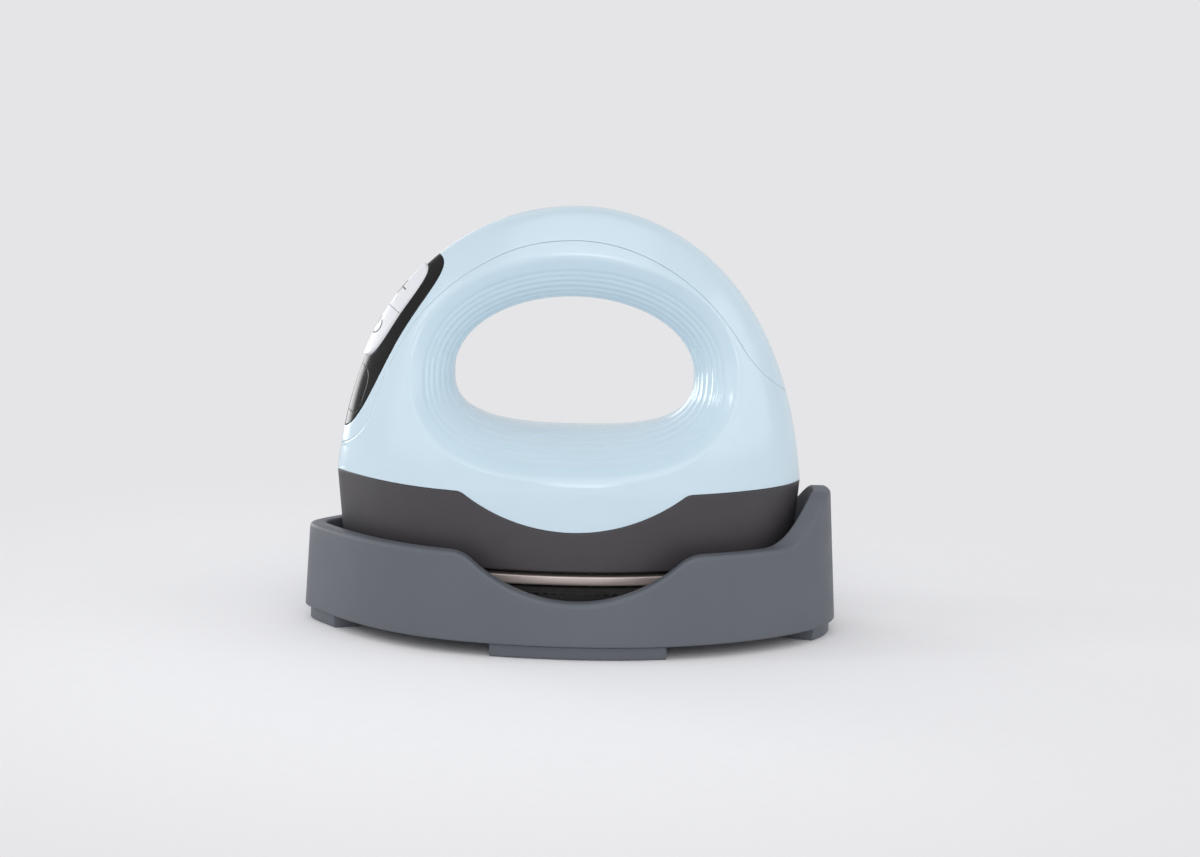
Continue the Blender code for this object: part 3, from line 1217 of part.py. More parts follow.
def build_wires(parts, finishes):
    """Wires between the inlet, the boards, the heating sheet, the fuse, the sensor and the panel."""
    material = finishes["wire"]
    build_inlet_leads(parts, material)
    underside = MAINS_BOARD_BOTTOM - CLEARANCE
    sheet_top = PLATE_TOP + CLEARANCE + SHEET_THICKNESS + CLEARANCE
    for number, (x, y) in enumerate(heater_lead_places(), start=1):
        lead = cylinder("heater_lead_%d" % number, LEAD_RADIUS, underside - sheet_top,
                        (x, y, (underside + sheet_top) / 2), parts)
        finish(lead, material)
    seat = sheet_top + CLAMP_THICKNESS + CLEARANCE
    fuse = (FUSE_LINK_X, FUSE_LINK_Y, seat + FUSE_LINK_RADIUS)
    build_rising_lead("fuse_lead_1", fuse, -FUSE_LINK_LENGTH / 2, parts, material)
    build_rising_lead("fuse_lead_2", fuse, FUSE_LINK_LENGTH / 2, parts, material)
    sensor = (SENSOR_X, SENSOR_Y, seat + SENSOR_RADIUS)
    build_rising_lead("sensor_lead", sensor, SENSOR_LENGTH / 2, parts, material)
    build_panel_cable(parts, material)


def build_inlet_leads(parts, material):
    """The two leads from the terminal block, round the heel's screw boss, to the inlet's pins."""
    start_x = TERMINAL_X + TERMINAL_LENGTH / 2 + CLEARANCE
    start_z = MAINS_BOARD_BOTTOM + MAINS_BOARD_THICKNESS + CLEARANCE + TERMINAL_HEIGHT / 2
    end_x = INLET_FACE_X - INLET_DEPTH - INLET_TAB_LENGTH - CLEARANCE
    boss_x = HEEL_SCREW_X - SHELL_BOSS_RADIUS - LEAD_BEND
    straight = 2 * LEAD_RADIUS
    for number, side in ((1, -1), (2, 1)):
        start_y = side * TERMINAL_WIDTH / 4
        end_z = INLET_Z + side * INLET_PIN_SPACING / 2
        route = [(start_x, start_y, start_z), (start_x + straight, start_y, start_z),
                 (boss_x, (start_y + INLET_Y) / 2, (start_z + end_z) / 2),
                 (end_x - straight, INLET_Y, end_z), (end_x, INLET_Y, end_z)]
        finish(tube("inlet_lead_%d" % number, route, LEAD_RADIUS, parts), material)


def build_rising_lead(name, place, offset, parts, material):
    """A lead that leaves one end of a part on the clamp plate and bends up to the mains board's underside."""
    x, y, z = place
    sign = math.copysign(1, offset)
    straight = 2 * LEAD_RADIUS
    start_x = x + offset + sign * CLEARANCE
    turn_x = start_x + sign * straight
    rise_x = turn_x + sign * LEAD_BEND
    top = MAINS_BOARD_BOTTOM - CLEARANCE
    route = [(start_x, y, z), (turn_x, y, z), (rise_x, y, top - straight), (rise_x, y, top)]
    finish(tube(name, route, LEAD_RADIUS, parts), material)


def build_panel_cable(parts, material):
    """The cable from the mains board, past the nose's screw boss, to the back of the control board."""
    straight = 2 * CABLE_RADIUS
    start = Vector((CABLE_START_X, 0.0, MAINS_BOARD_BOTTOM + MAINS_BOARD_THICKNESS + CLEARANCE))
    end = panel_place(CABLE_END_U, 0.0, -BOARD_DEPTH - BOARD_THICKNESS - CLEARANCE)
    beside_boss = Vector((NOSE_SCREW_X + SHELL_BOSS_RADIUS + CABLE_BEND, 0.0, NOSE_SCREW_Z + CABLE_BEND))
    route = [start, start + Vector((0.0, 0.0, straight)), beside_boss, end - PANEL_OUT * straight, end]
    finish(tube("panel_cable", route, CABLE_RADIUS, parts), material)


def build_all():
    """Build every piece of the press and its cradle."""
    clear_scene()
    parts = make_collection("mini_heat_press")
    cutters = make_collection("cutters")
    finishes = {
        "blue": make_material("light_blue_gloss_plastic", "CDDFEA", 0.25),
        "skirt": make_material("warm_grey_matte_plastic", "5A575D", 0.55),
        "cradle": make_material("blue_grey_matte_plastic", "666971", 0.60),
        "plate": make_material("rose_taupe_coated_aluminium", "8A7A76", 0.35, 0.8),
        "black": make_material("black_plastic", "1C1C1E", 0.60),
        "gloss_black": make_material("gloss_black_plastic", "26262A", 0.10),
        "window": make_material("dark_window", "303136", 0.05),
        "white": make_material("white_plastic", "E4E5E8", 0.30),
        "steel": make_material("steel", "B4B6BA", 0.35, 1.0),
        "brass": make_material("nickel_plated_brass", "C8C2B0", 0.30, 1.0),
        "mica": make_material("mica", "A9A08C", 0.50),
        "ceramic": make_material("ceramic", "EDEBE4", 0.45),
        "board": make_material("circuit_board", "1F5A3A", 0.45),
        "relay": make_material("component_plastic", "3C5F8C", 0.45),
        "wire": make_material("wire_insulation", "D8D4CC", 0.50),
    }
    build_cradle(parts, cutters, finishes["cradle"])
    build_feet(parts, cutters, finishes["cradle"])
    build_pad(parts, cutters, finishes["black"])
    build_hot_part(parts, cutters, finishes)
    build_skirt(parts, cutters, finishes["skirt"])
    bezel_hole = panel_prism("bezel_hole", oval(BEZEL_CENTRE_U, BEZEL_LENGTH, BEZEL_WIDTH, BEZEL_UPPER_POWER,
                                                BEZEL_LOWER_POWER, CLEARANCE), cutters)
    modify(bezel_hole, nose_half("bezel_hole_nose_half", cutters), "INTERSECT")
    deep = body_form("bezel_hole_deep", PANEL_WALL + CLEARANCE, SKIRT_BOTTOM - OVERRUN, cutters)
    modify(bezel_hole, deep, "DIFFERENCE")
    blue = build_blue_body(cutters)
    build_shells(blue, parts, cutters, finishes["blue"])
    build_shell_screws(parts, finishes["steel"])
    build_spine(bezel_hole, parts, cutters, finishes["blue"])
    build_panel(parts, cutters, finishes)
    build_control_board(parts, cutters, finishes)
    build_mains_board(parts, finishes)
    build_inlet(parts, cutters, finishes)
    build_wires(parts, finishes)


build_all()
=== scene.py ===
"""Looks of a mini handheld heat press standing in its safety cradle, laid out as an add-on.

The long way runs along X, with the button panel (the nose) at -X and the mains inlet (the heel) at +X. The hand
hole runs along Y and the press lifts off along +Z. Every length is in metres and every piece is placed in its own
mesh, round the same origin as the solids of the frame.
"""

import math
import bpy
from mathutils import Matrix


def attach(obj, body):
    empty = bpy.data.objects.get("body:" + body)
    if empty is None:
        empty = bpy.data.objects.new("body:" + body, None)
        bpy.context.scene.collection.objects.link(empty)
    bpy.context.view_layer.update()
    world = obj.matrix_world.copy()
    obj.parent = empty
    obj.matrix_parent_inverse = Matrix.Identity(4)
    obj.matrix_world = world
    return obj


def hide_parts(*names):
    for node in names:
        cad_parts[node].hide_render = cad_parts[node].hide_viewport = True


bl_info = {
    "name": "Mini Heat Press Looks",
    "version": (1, 0, 0),
    "blender": (4, 5, 0),
    "location": "3D View > Sidebar > Heat Press",
    "description": "Adds the detailed pieces, finishes and stage of a mini heat press in its safety cradle",
    "category": "Add Mesh",
}

import bmesh
import bpy
import numpy as np
from bpy.props import FloatProperty, FloatVectorProperty, PointerProperty
from mathutils import Matrix, Vector

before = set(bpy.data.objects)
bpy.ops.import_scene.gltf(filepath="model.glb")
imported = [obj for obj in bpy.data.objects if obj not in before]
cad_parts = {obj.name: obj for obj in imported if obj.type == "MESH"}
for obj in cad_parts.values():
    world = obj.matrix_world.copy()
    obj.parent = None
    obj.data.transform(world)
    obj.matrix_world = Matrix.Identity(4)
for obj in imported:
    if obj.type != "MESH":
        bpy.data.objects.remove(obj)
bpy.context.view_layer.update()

# Powers and shares of the curves that the shapes are made of; the functions below say what each one does.
NOSE_TAPER = (0.60, 5.0)
HEEL_TAPER = (0.15, 2.5)
CROWN_TAPER = (0.29, 1.33)
SLIM_SCALE = 6.75
LIP_POWER = 2.6
THROAT_POWER = 2.8
BEZEL_POWERS = (3.2, 2.1)
CAPS_POWERS = (2.7, 2.8)
PANE_POWERS = (3.5, 3.5)

# Lengths that only help to work out a surface: the step of a slope, how far away from the middle every point of the
# body is surely outside it, the first row beside an edge, how far a moulded edge sinks, and what counts as one point.
SLOPE_STEP = 1e-6
CAST_REACH = 0.07
EDGE_ROW = 0.00012
EDGE_SINK = 0.00002
WELD = 2e-6


def linear(colour_hex):
    """Linear red, green and blue of an sRGB colour written as six hex digits."""
    channels = [int(colour_hex[i:i + 2], 16) / 255 for i in (0, 2, 4)]
    return tuple(c / 12.92 if c <= 0.04045 else ((c + 0.055) / 1.055) ** 2.4 for c in channels)


def size(label, about, default, **limits):
    """A length that a user can change."""
    return FloatProperty(name=label, description=about, default=default, unit="LENGTH", precision=5, **limits)


def colour(label, about, colour_hex):
    """A colour that a user can change."""
    return FloatVectorProperty(name=label, description=about, default=linear(colour_hex), subtype="COLOR",
                               min=0.0, max=1.0)


class PressBodySizes(bpy.types.PropertyGroup):
    """Sizes of the dome, its hand hole and its skirt."""

    centre_x: size("Centre", "Place of the body's widest section along X", 0.00105)
    nose: size("Nose length", "From the widest section to the nose", 0.0570, min=0.03)
    heel: size("Heel length", "From the widest section to the heel", 0.0535, min=0.03)
    width: size("Width", "Width of the body at its waist", 0.0624, min=0.03)
    waist: size("Waist height", "Height of the widest level", 0.0370)
    dome: size("Dome height", "From the waist to the top of the handle", 0.0635, min=0.03)
    nose_slim: size("Nose slimming", "How much slimmer than an ellipse the nose is", 0.00115)
    heel_slim: size("Heel slimming", "How much slimmer than an ellipse the heel is", 0.0009)
    skirt_bottom: size("Skirt bottom", "Height of the skirt's lower edge", 0.0189)
    draft: FloatProperty(name="Draft", description="How far the skirt draws in downwards",
                         default=math.radians(5.0), subtype="ANGLE")
    wall: size("Shell wall", "Thickness of the plastic wall", 0.0018, min=0.0005)
    seam: size("Seam", "Width of the fine line between two shells", 0.00010, min=0.00005)
    throat_x: size("Throat centre X", "Middle of the hand hole's narrowest outline", 0.0004)
    throat_z: size("Throat centre Z", "Widest level of the narrowest outline", 0.0613)
    throat_half: size("Throat half length", "Half the narrowest outline's length", 0.02835)
    throat_rise: size("Throat rise", "From its widest level to its top", 0.0178)
    throat_drop: size("Throat drop", "From its widest level to its bottom", 0.0132)
    lip_x: size("Lip centre X", "Middle of the hand hole's outer lip", 0.00095)
    lip_z: size("Lip centre Z", "Widest level of the outer lip", 0.0630)
    lip_half: size("Lip half length", "Half the lip's length", 0.0382)
    lip_rise: size("Lip rise", "From its widest level to its top", 0.0270)
    lip_drop: size("Lip drop", "From its widest level to its bottom", 0.0227)
    lip_round: size("Lip rounding", "How far the lip's rounding reaches to each side", 0.0016, min=0.0002)
    rib_depth: size("Rib depth", "Depth of the grooves between the grip's ribs", 0.00022, min=0.0)
    parting: size("Parting height", "Level part of the line between skirt and shells", 0.0368)
    dip_x: size("Dip centre", "Middle of the dip in that line", 0.00205)
    dip_bottom: size("Dip bottom", "Lowest height of the dip", 0.0282)
    dip_radius: size("Dip radius", "Radius of the dip's arc", 0.0438)
    dip_shoulder: size("Dip shoulder", "Radius where the dip meets the level part", 0.0030)
    spine: size("Strip width", "Width of the strip over the handle", 0.0218)
    spine_nose: size("Strip width at the nose", "Width of the strip beside the panel", 0.0194)
    spine_nose_z: size("Strip nose end", "Centre height of its rounded end at the nose", 0.05298)
    spine_narrow_z: size("Strip narrows from", "Height below which the strip is at its narrow width", 0.0751)
    spine_wide_z: size("Strip widens to", "Height above which the strip is at its full width", 0.0878)
    spine_heel_z: size("Strip heel end", "Centre height of its rounded end at the heel", 0.0690)


class CradleSizes(bpy.types.PropertyGroup):
    """Sizes of the cradle, its feet and its pad."""

    peak_x: size("Peak", "Place of the widest section along X", 0.00355)
    nose: size("Nose length", "From the widest section to the nose end", 0.0673)
    heel: size("Heel length", "From the widest section to the heel end", 0.0602)
    width: size("Width", "Width at the foot of the wall", 0.0756)
    wall: size("Wall", "Thickness of the wall", 0.0040)
    draft: FloatProperty(name="Draft", description="How far the wall leans inwards", default=math.radians(3.4),
                         subtype="ANGLE")
    foot: size("Foot height", "Height of the wall's lower edge", 0.0032)
    floor: size("Floor", "Height of the tray's floor", 0.0100)
    rim: size("Rim height", "Height of the rim", 0.0236)
    heel_wall: size("Heel wall", "Height of the raised wall at the heel", 0.0345)
    window_x: size("Window centre", "Middle of the arched cut-out", 0.00285)
    window_bottom: size("Window bottom", "Lowest height of the cut-out", 0.0131)
    window_radius: size("Window radius", "Radius of the cut-out's arc", 0.0369)
    window_shoulder: size("Window shoulder", "Radius where the cut-out meets the rim", 0.0080)
    rounding: size("Rim rounding", "Radius of the rim's outer edge", 0.0011)
    pad_top: size("Pad top", "Height of the heat-proof pad", 0.0151)


class PanelSizes(bpy.types.PropertyGroup):
    """Sizes of the button panel, measured up the slope (u) and across it (v) from a point on the ridge."""

    ridge_z: size("Ridge height", "Height of the panel's origin on the ridge", 0.067988)
    tilt: FloatProperty(name="Tilt", description="Lean of the panel from upright", default=math.radians(30.0),
                        subtype="ANGLE")
    bezel_u: size("Bezel centre", "Middle of the black bezel", 0.0023)
    bezel_length: size("Bezel length", "Length of the black bezel", 0.0470)
    bezel_width: size("Bezel width", "Width of the black bezel", 0.0168)
    caps_u: size("Caps centre", "Middle of the pair of caps", 0.0091)
    caps_length: size("Caps length", "Length of the pair of caps", 0.0262)
    caps_width: size("Caps width", "Width of the caps", 0.0100)
    divide_u: size("Caps divide", "Where the two caps meet", 0.0094)
    proud: size("Caps proud", "How far the caps stand out of the bezel", 0.0006)
    pane_u: size("Pane centre", "Middle of the display window", -0.0116)
    pane_length: size("Pane length", "Length of the display window", 0.0114)
    pane_width: size("Pane width", "Width of the display window", 0.0110)
    plus_u: size("Plus sign", "Place of the plus sign", 0.0146)
    power_u: size("Power sign", "Place of the power sign", 0.0037)
    sign: size("Sign size", "Size of the two signs", 0.0039)


class PressColours(bpy.types.PropertyGroup):
    """Colours of the finishes."""

    shell: colour("Shells", "Light-blue gloss plastic", "CDE1EC")
    skirt: colour("Skirt", "Warm-grey matte plastic", "413E42")
    cradle: colour("Cradle", "Blue-grey matte plastic", "5E626A")
    plate: colour("Plate", "Rose-taupe coating", "D8CAC5")
    caps: colour("Caps", "White satin plastic", "E2E4E8")
    bezel: colour("Bezel", "Black gloss plastic", "0C0C0E")
    floor: colour("Floor", "Pale paper sweep", "FAFAFC")


# Shapes ---------------------------------------------------------------------------------------------------------

def taper(along):
    """Share of the breadth left at a share of the way to the heel (+1) or the nose (-1)."""
    reach = np.abs(along)
    return 1 - np.where(along >= 0, HEEL_TAPER[0] * reach ** HEEL_TAPER[1], NOSE_TAPER[0] * reach ** NOSE_TAPER[1])


def crown(rise):
    """Share of the breadth left where the dome has risen by a share of its height."""
    return 1 - CROWN_TAPER[0] * rise ** CROWN_TAPER[1]


def plan_points(angle, peak_x, nose, heel, half_width, height):
    """Plan shape: half an ellipse towards each end, its breadth cut by the taper, at the given heights."""
    along = np.cos(angle)
    x = peak_x + np.where(along >= 0, heel, nose) * along
    y = half_width * np.sin(angle) * taper(along)
    return np.stack(np.broadcast_arrays(x, y, height), -1)


def arched_height(x, flat, centre_x, bottom, radius, shoulder):
    """A level line with one round dip: an arc of the radius, joined to the level parts by shoulder arcs."""
    centre_z = bottom + radius
    lift = centre_z - (flat - shoulder)
    reach = math.sqrt((radius + shoulder) ** 2 - lift ** 2)
    turn = radius * reach / (radius + shoulder)
    off = np.abs(x - centre_x)
    arc = centre_z - np.sqrt(np.maximum(radius ** 2 - np.minimum(off, turn) ** 2, 0))
    round_part = flat - shoulder + np.sqrt(np.maximum(shoulder ** 2 - np.clip(reach - off, 0, shoulder) ** 2, 0))
    return np.where(off < turn, arc, np.where(off < reach, round_part, flat))


def body_field(points, body):
    """Below zero inside the press body, zero on it.

    Above the waist it is an ellipsoid, (x/length)^2 + (y/breadth)^2 + (z/dome)^2 = 1, whose breadth narrows upwards
    and towards each tip, and whose ends are a little slimmer a third of the way up. Below the waist it is the same
    oval drawn in by the draft.
    """
    x, y, z = points[..., 0] - body.centre_x, points[..., 1], points[..., 2] - body.waist
    rise = np.clip(z / body.dome, 0, 1)
    drawn = np.maximum(-z, 0) * math.tan(body.draft)
    reach = dome_reach(x, rise, body) - drawn
    breadth = (body.width / 2 - drawn) * crown(rise)
    along = np.clip(x / reach, -1, 1)
    shrink = np.maximum(1 - rise ** 2, 1e-4)
    over = np.maximum(z / body.dome, 0) ** 2
    return (x / reach) ** 2 * shrink + (y / (breadth * taper(along))) ** 2 + over - 1


def dome_reach(x, rise, body):
    """From the middle to the nose or the heel where the dome has risen by a share of its height."""
    slim = SLIM_SCALE * rise * (1 - rise) ** 2
    shrink = np.sqrt(np.maximum(1 - rise ** 2, 1e-4))
    return np.where(x >= 0, body.heel * shrink - body.heel_slim * slim, body.nose * shrink - body.nose_slim * slim)


def body_slope(points, body):
    """Gradient of body_field, by central differences."""
    parts = []
    for axis in np.eye(3):
        parts.append(body_field(points + axis * SLOPE_STEP, body) - body_field(points - axis * SLOPE_STEP, body))
    return np.stack(parts, -1) / (2 * SLOPE_STEP)


def body_normals(points, body):
    """Outward unit normals of the body."""
    slope = body_slope(points, body)
    return slope / np.linalg.norm(slope, axis=-1, keepdims=True)


def onto_body(points, body):
    """Points moved level onto the body (repeated straight steps down the level part of the slope of body_field)."""
    for _ in range(12):
        slope = body_slope(points, body) * [1, 1, 0]
        points = points - slope * (body_field(points, body) / (slope ** 2).sum(-1))[..., None]
    return points


def cast(points, way, inner, outer, body):
    """Where lines cross the body: the distance along each is halved between a point inside and one outside."""
    inner = np.full(points.shape[:-1], inner)
    outer = np.full(points.shape[:-1], outer)
    for _ in range(36):
        middle = (inner + outer) / 2
        outside = body_field(points + way * middle[..., None], body) > 0
        inner, outer = np.where(outside, inner, middle), np.where(outside, middle, outer)
    return points + way * middle[..., None]


def body_half_width(x, z, body):
    """Half the body's depth at points of the side view."""
    rise = np.clip((z - body.waist) / body.dome, 0, 0.9999)
    shrink = np.sqrt(1 - rise ** 2)
    along = np.clip((x - body.centre_x) / dome_reach(x - body.centre_x, rise, body), -1, 1)
    return body.width / 2 * shrink * crown(rise) * np.sqrt(1 - along ** 2) * taper(along)


def hole_outline(angle, centre_x, centre_z, half, rise, drop, power):
    """Side-view outline of the hand hole: an ellipse above its widest level, a fuller curve of a power below."""
    cosine, sine = np.cos(angle), np.sin(angle)
    share = np.where(sine >= 0, 1, 2 / power)
    x = centre_x + half * np.sign(cosine) * np.abs(cosine) ** share
    z = centre_z + np.where(sine >= 0, rise, drop) * np.sign(sine) * np.abs(sine) ** share
    return np.stack([x, np.zeros_like(x), z], -1)


def lip_angle(direction, body):
    """The outline angle whose point on the lip lies in a direction from the lip's centre."""
    cosine, sine = np.cos(direction) / body.lip_half, np.sin(direction)
    sine = sine / np.where(sine >= 0, body.lip_rise, body.lip_drop)
    share = np.where(sine >= 0, 1, LIP_POWER / 2)
    return np.arctan2(np.sign(sine) * np.abs(sine) ** share, np.sign(cosine) * np.abs(cosine) ** share)


def quads(rows, columns, round_rows=False, round_columns=False):
    """Corner numbers of a grid's faces; a round grid also joins its last line to its first."""
    row = np.arange(rows if round_rows else rows - 1)[:, None]
    column = np.arange(columns if round_columns else columns - 1)[None, :]
    right = (column + 1) % columns
    below = (row + 1) % rows
    corners = (row * columns + column, row * columns + right, below * columns + right, below * columns + column)
    return np.stack(corners, -1).reshape(-1, 4)


def add_piece(name, grids, flip=False):
    """One object from point grids, each (points, round rows, round columns), welded where they meet."""
    points, faces, start = [], [], 0
    for grid, round_rows, round_columns in grids:
        faces.append(quads(grid.shape[0], grid.shape[1], round_rows, round_columns) + start)
        points.append(grid.reshape(-1, 3))
        start += grid.shape[0] * grid.shape[1]
    points, faces = np.concatenate(points), np.concatenate(faces)
    if flip:
        faces = faces[:, ::-1]
    mesh = bpy.data.meshes.new(name)
    mesh.vertices.add(len(points))
    mesh.vertices.foreach_set("co", points.astype(np.float32).ravel())
    mesh.loops.add(faces.size)
    mesh.loops.foreach_set("vertex_index", faces.astype(np.int32).ravel())
    mesh.polygons.add(len(faces))
    mesh.polygons.foreach_set("loop_start", np.arange(0, faces.size, 4, dtype=np.int32))
    mesh.update(calc_edges=True)
    shape = bmesh.new()
    shape.from_mesh(mesh)
    bmesh.ops.remove_doubles(shape, verts=shape.verts, dist=WELD)
    shape.to_mesh(mesh)
    shape.free()
    piece = bpy.data.objects.new(name, mesh)
    bpy.context.scene.collection.objects.link(piece)
    return piece


def thicken(piece, thickness):
    """Gives a sheet its wall, inwards."""
    wall = piece.modifiers.new("wall", "SOLIDIFY")
    wall.thickness = thickness
    wall.offset = -1
    return piece


def bake(piece):
    """Makes the modifiers' result the piece's own mesh."""
    bpy.context.view_layer.update()
    graph = bpy.context.evaluated_depsgraph_get()
    mesh = bpy.data.meshes.new_from_object(piece.evaluated_get(graph))
    piece.modifiers.clear()
    piece.data = mesh
    mesh.name = piece.name
    return piece


def corners(mesh):
    """A mesh's points as rows of three numbers."""
    points = np.empty(len(mesh.vertices) * 3, np.float32)
    mesh.vertices.foreach_get("co", points)
    return points.reshape(-1, 3)


def move_corners(piece, points):
    """Puts a piece's points at new places."""
    piece.data.vertices.foreach_set("co", points.ravel())
    piece.data.update()


def wall_up(piece, thickness):
    """Gives a sheet its wall, inwards, and sinks the outer edge by a hair, as a moulded edge is never sharp."""
    sheet = piece.data
    count = len(sheet.vertices)
    normals = np.empty(count * 3, np.float32)
    sheet.vertex_normals.foreach_get("vector", normals)
    loops = np.empty(len(sheet.loops), np.int32)
    sheet.loops.foreach_get("edge_index", loops)
    pairs = np.empty(len(sheet.edges) * 2, np.int32)
    sheet.edges.foreach_get("vertices", pairs)
    rim = np.unique(pairs.reshape(-1, 2)[np.bincount(loops, minlength=len(sheet.edges)) == 1])
    points = corners(bake(thicken(piece, thickness)).data)
    points[rim] -= normals.reshape(-1, 3)[rim] * EDGE_SINK
    move_corners(piece, points)
    return piece


def wall_along(piece, thickness, way, rounding, segments):
    """Gives a sheet its wall against given directions, one for all points or one each, and rounds the edges."""
    count = len(piece.data.vertices)
    points = corners(bake(thicken(piece, thickness)).data)
    points[count:] = points[:count] - (way(points[:count]) if callable(way) else way) * thickness
    move_corners(piece, points)
    return round_edges(piece, rounding, segments)


def round_edges(piece, rounding, segments):
    """Rounds the edges that turn sharply."""
    edge = piece.modifiers.new("rounding", "BEVEL")
    edge.width = rounding
    edge.segments = segments
    edge.limit_method = "ANGLE"
    edge.angle_limit = math.radians(50)
    return piece


def cut(piece, tool):
    """Takes one solid out of another."""
    step = piece.modifiers.new("cut", "BOOLEAN")
    step.operation = "DIFFERENCE"
    step.solver = "MANIFOLD"
    step.object = tool
    return piece


def settle(piece, body, slot, *nodes, tools=(), key=None):
    """Bakes the modifiers, shades the piece, dresses it as its slot or a key says and gives it its place."""
    mesh = bake(piece).data
    for tool in tools:
        bpy.data.objects.remove(tool)
    mesh.materials.clear()
    mesh.materials.append(material(key or slot))
    mesh.shade_smooth()
    mesh.set_sharp_from_angle(angle=math.radians(40))
    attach(piece, body)
    if nodes:
        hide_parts(*nodes)
    return piece


def rows_round(outline, angle, profile):
    """Rows round an outline, one for each (inset, height) of a profile, as numbers or as arrays per angle."""
    return [outline(angle, inset, height) for inset, height in profile]


def pole(x, height, angle):
    """A row that is one point over and over, where a surface closes in its middle."""
    return np.broadcast_to([x, 0.0, height], (len(angle), 3))


def even_points(curve, count):
    """Points evenly spaced along a flat curve, its ends among them."""
    run = np.concatenate([[0], np.cumsum(np.linalg.norm(np.diff(curve, axis=0), axis=1))])
    even = np.linspace(0, run[-1], count)
    return np.stack([np.interp(even, run, curve[:, 0]), np.interp(even, run, curve[:, 1])], -1)


def arc_pairs(inset, height, radius, start, end, steps=5):
    """Profile pairs along a round edge, given its centre, radius and the angles in degrees where it starts and ends.

    The angle is 0 towards the outside (less inset) and 90 upwards.
    """
    turn = np.radians(np.linspace(start, end, steps))
    return [(inset - radius * c, height + radius * s) for c, s in zip(np.cos(turn), np.sin(turn))]


def around(count=360):
    """Angles once round, evenly spaced."""
    return np.linspace(0, 2 * np.pi, count, endpoint=False)


def skirt_outline(angle, inset, height):
    """The press outline below the waist, drawn in by an inset."""
    body = bpy.context.scene.press_body
    drawn = inset + (body.waist - height) * math.tan(body.draft)
    return plan_points(angle, body.centre_x, body.nose - drawn, body.heel - drawn, body.width / 2 - drawn, height)


def parting_heights(angle, body):
    """Heights of the line between skirt and shells at plan angles; the height sets where on X a point lies."""
    high = np.full(angle.shape, body.parting)
    for _ in range(6):
        x = skirt_outline(angle, 0.0, high)[:, 0]
        high = arched_height(x, body.parting, body.dip_x, body.dip_bottom, body.dip_radius, body.dip_shoulder)
    return high


def strip_half(x, z, body):
    """Half the strip's width: full over the handle and the heel, and narrow beside the panel."""
    share = np.clip((z - body.spine_narrow_z) / (body.spine_wide_z - body.spine_narrow_z), 0, 1)
    share = np.where(x > body.centre_x, 1.0, share)
    return (body.spine_nose + (body.spine - body.spine_nose) * share) / 2


def end_points(y, z, end, body):
    """Points of the nose (-1) or the heel (+1) seen along X, put onto the body."""
    points = np.stack(np.broadcast_arrays(body.centre_x, y, z), -1)
    return cast(points, np.array([end, 0, 0]), 0.0, CAST_REACH, body)


def cradle_outline(angle, inset, height):
    """The cradle's leaning outline, drawn in by an inset."""
    cradle = bpy.context.scene.press_cradle
    drawn = inset + (height - cradle.foot) * math.tan(cradle.draft)
    return plan_points(angle, cradle.peak_x, cradle.nose - drawn, cradle.heel - drawn, cradle.width / 2 - drawn,
                       height)


def foot_outline(angle, inset, height):
    """The cradle's foot outline, upright, drawn in by an inset."""
    cradle = bpy.context.scene.press_cradle
    return plan_points(angle, cradle.peak_x, cradle.nose - inset, cradle.heel - inset, cradle.width / 2 - inset,
                       height)


def stretched_oval(direction, scale_u, scale_v, upper, lower):
    """Point of an upright oval in a direction measured after its two half lengths are made equal."""
    cosine, sine = np.cos(direction), np.sin(direction)
    power = np.where(cosine >= 0, upper, lower)
    reach = (np.abs(cosine) ** power + np.abs(sine) ** power) ** (-1 / power)
    return np.stack([scale_u * reach * cosine, scale_v * reach * sine], -1)


def panel_axes(panel, body):
    """Origin on the ridge, and the directions up the slope, across it and out of it."""
    reach = float(dome_reach(-1.0, (panel.ridge_z - body.waist) / body.dome, body))
    origin = np.array([body.centre_x - reach, 0, panel.ridge_z])
    up = np.array([math.sin(panel.tilt), 0, math.cos(panel.tilt)])
    out = np.array([-math.cos(panel.tilt), 0, math.sin(panel.tilt)])
    return origin, up, np.array([0.0, 1.0, 0.0]), out


def panel_surface(flat, height=0.0):
    """Points (u, v) of the panel carried along its outward direction onto the body, then lifted off it."""
    body, panel = bpy.context.scene.press_body, bpy.context.scene.press_panel
    origin, up, across, out = panel_axes(panel, body)
    points = cast(origin + flat[..., :1] * up + flat[..., 1:] * across, out, -0.028, 0.008, body)
    return points + body_normals(points, body) * height


def between(first, last, rows, power=1.0):
    """Grid rows that go straight from one line of points to another."""
    share = (np.linspace(0, 1, rows) ** power).reshape(-1, *[1] * first.ndim)
    return first * (1 - share) + last * share


# Materials ------------------------------------------------------------------------------------------------------

def add_node(tree, kind, links=None, **settings):
    """Adds a node; settings are its own values or its sockets' values, links go from sockets to its inputs."""
    node = tree.nodes.new(kind)
    for name, value in settings.items():
        if hasattr(node, name):
            setattr(node, name, value)
        else:
            node.inputs[name.replace("_", " ")].default_value = value
    for name, source in (links or {}).items():
        tree.links.new(source, node.inputs[name])
    return node


def grain(tree, place, period, detail, low=0.0, high=1.0):
    """A noise with features of about the given period in metres, spread between two values."""
    noise = add_node(tree, "ShaderNodeTexNoise", {"Vector": place}, Scale=1 / period, Detail=detail)
    spread = add_node(tree, "ShaderNodeMapRange", {"Value": noise.outputs["Fac"]}, From_Min=0.3, From_Max=0.7,
                      To_Min=low, To_Max=high)
    return spread.outputs["Result"]


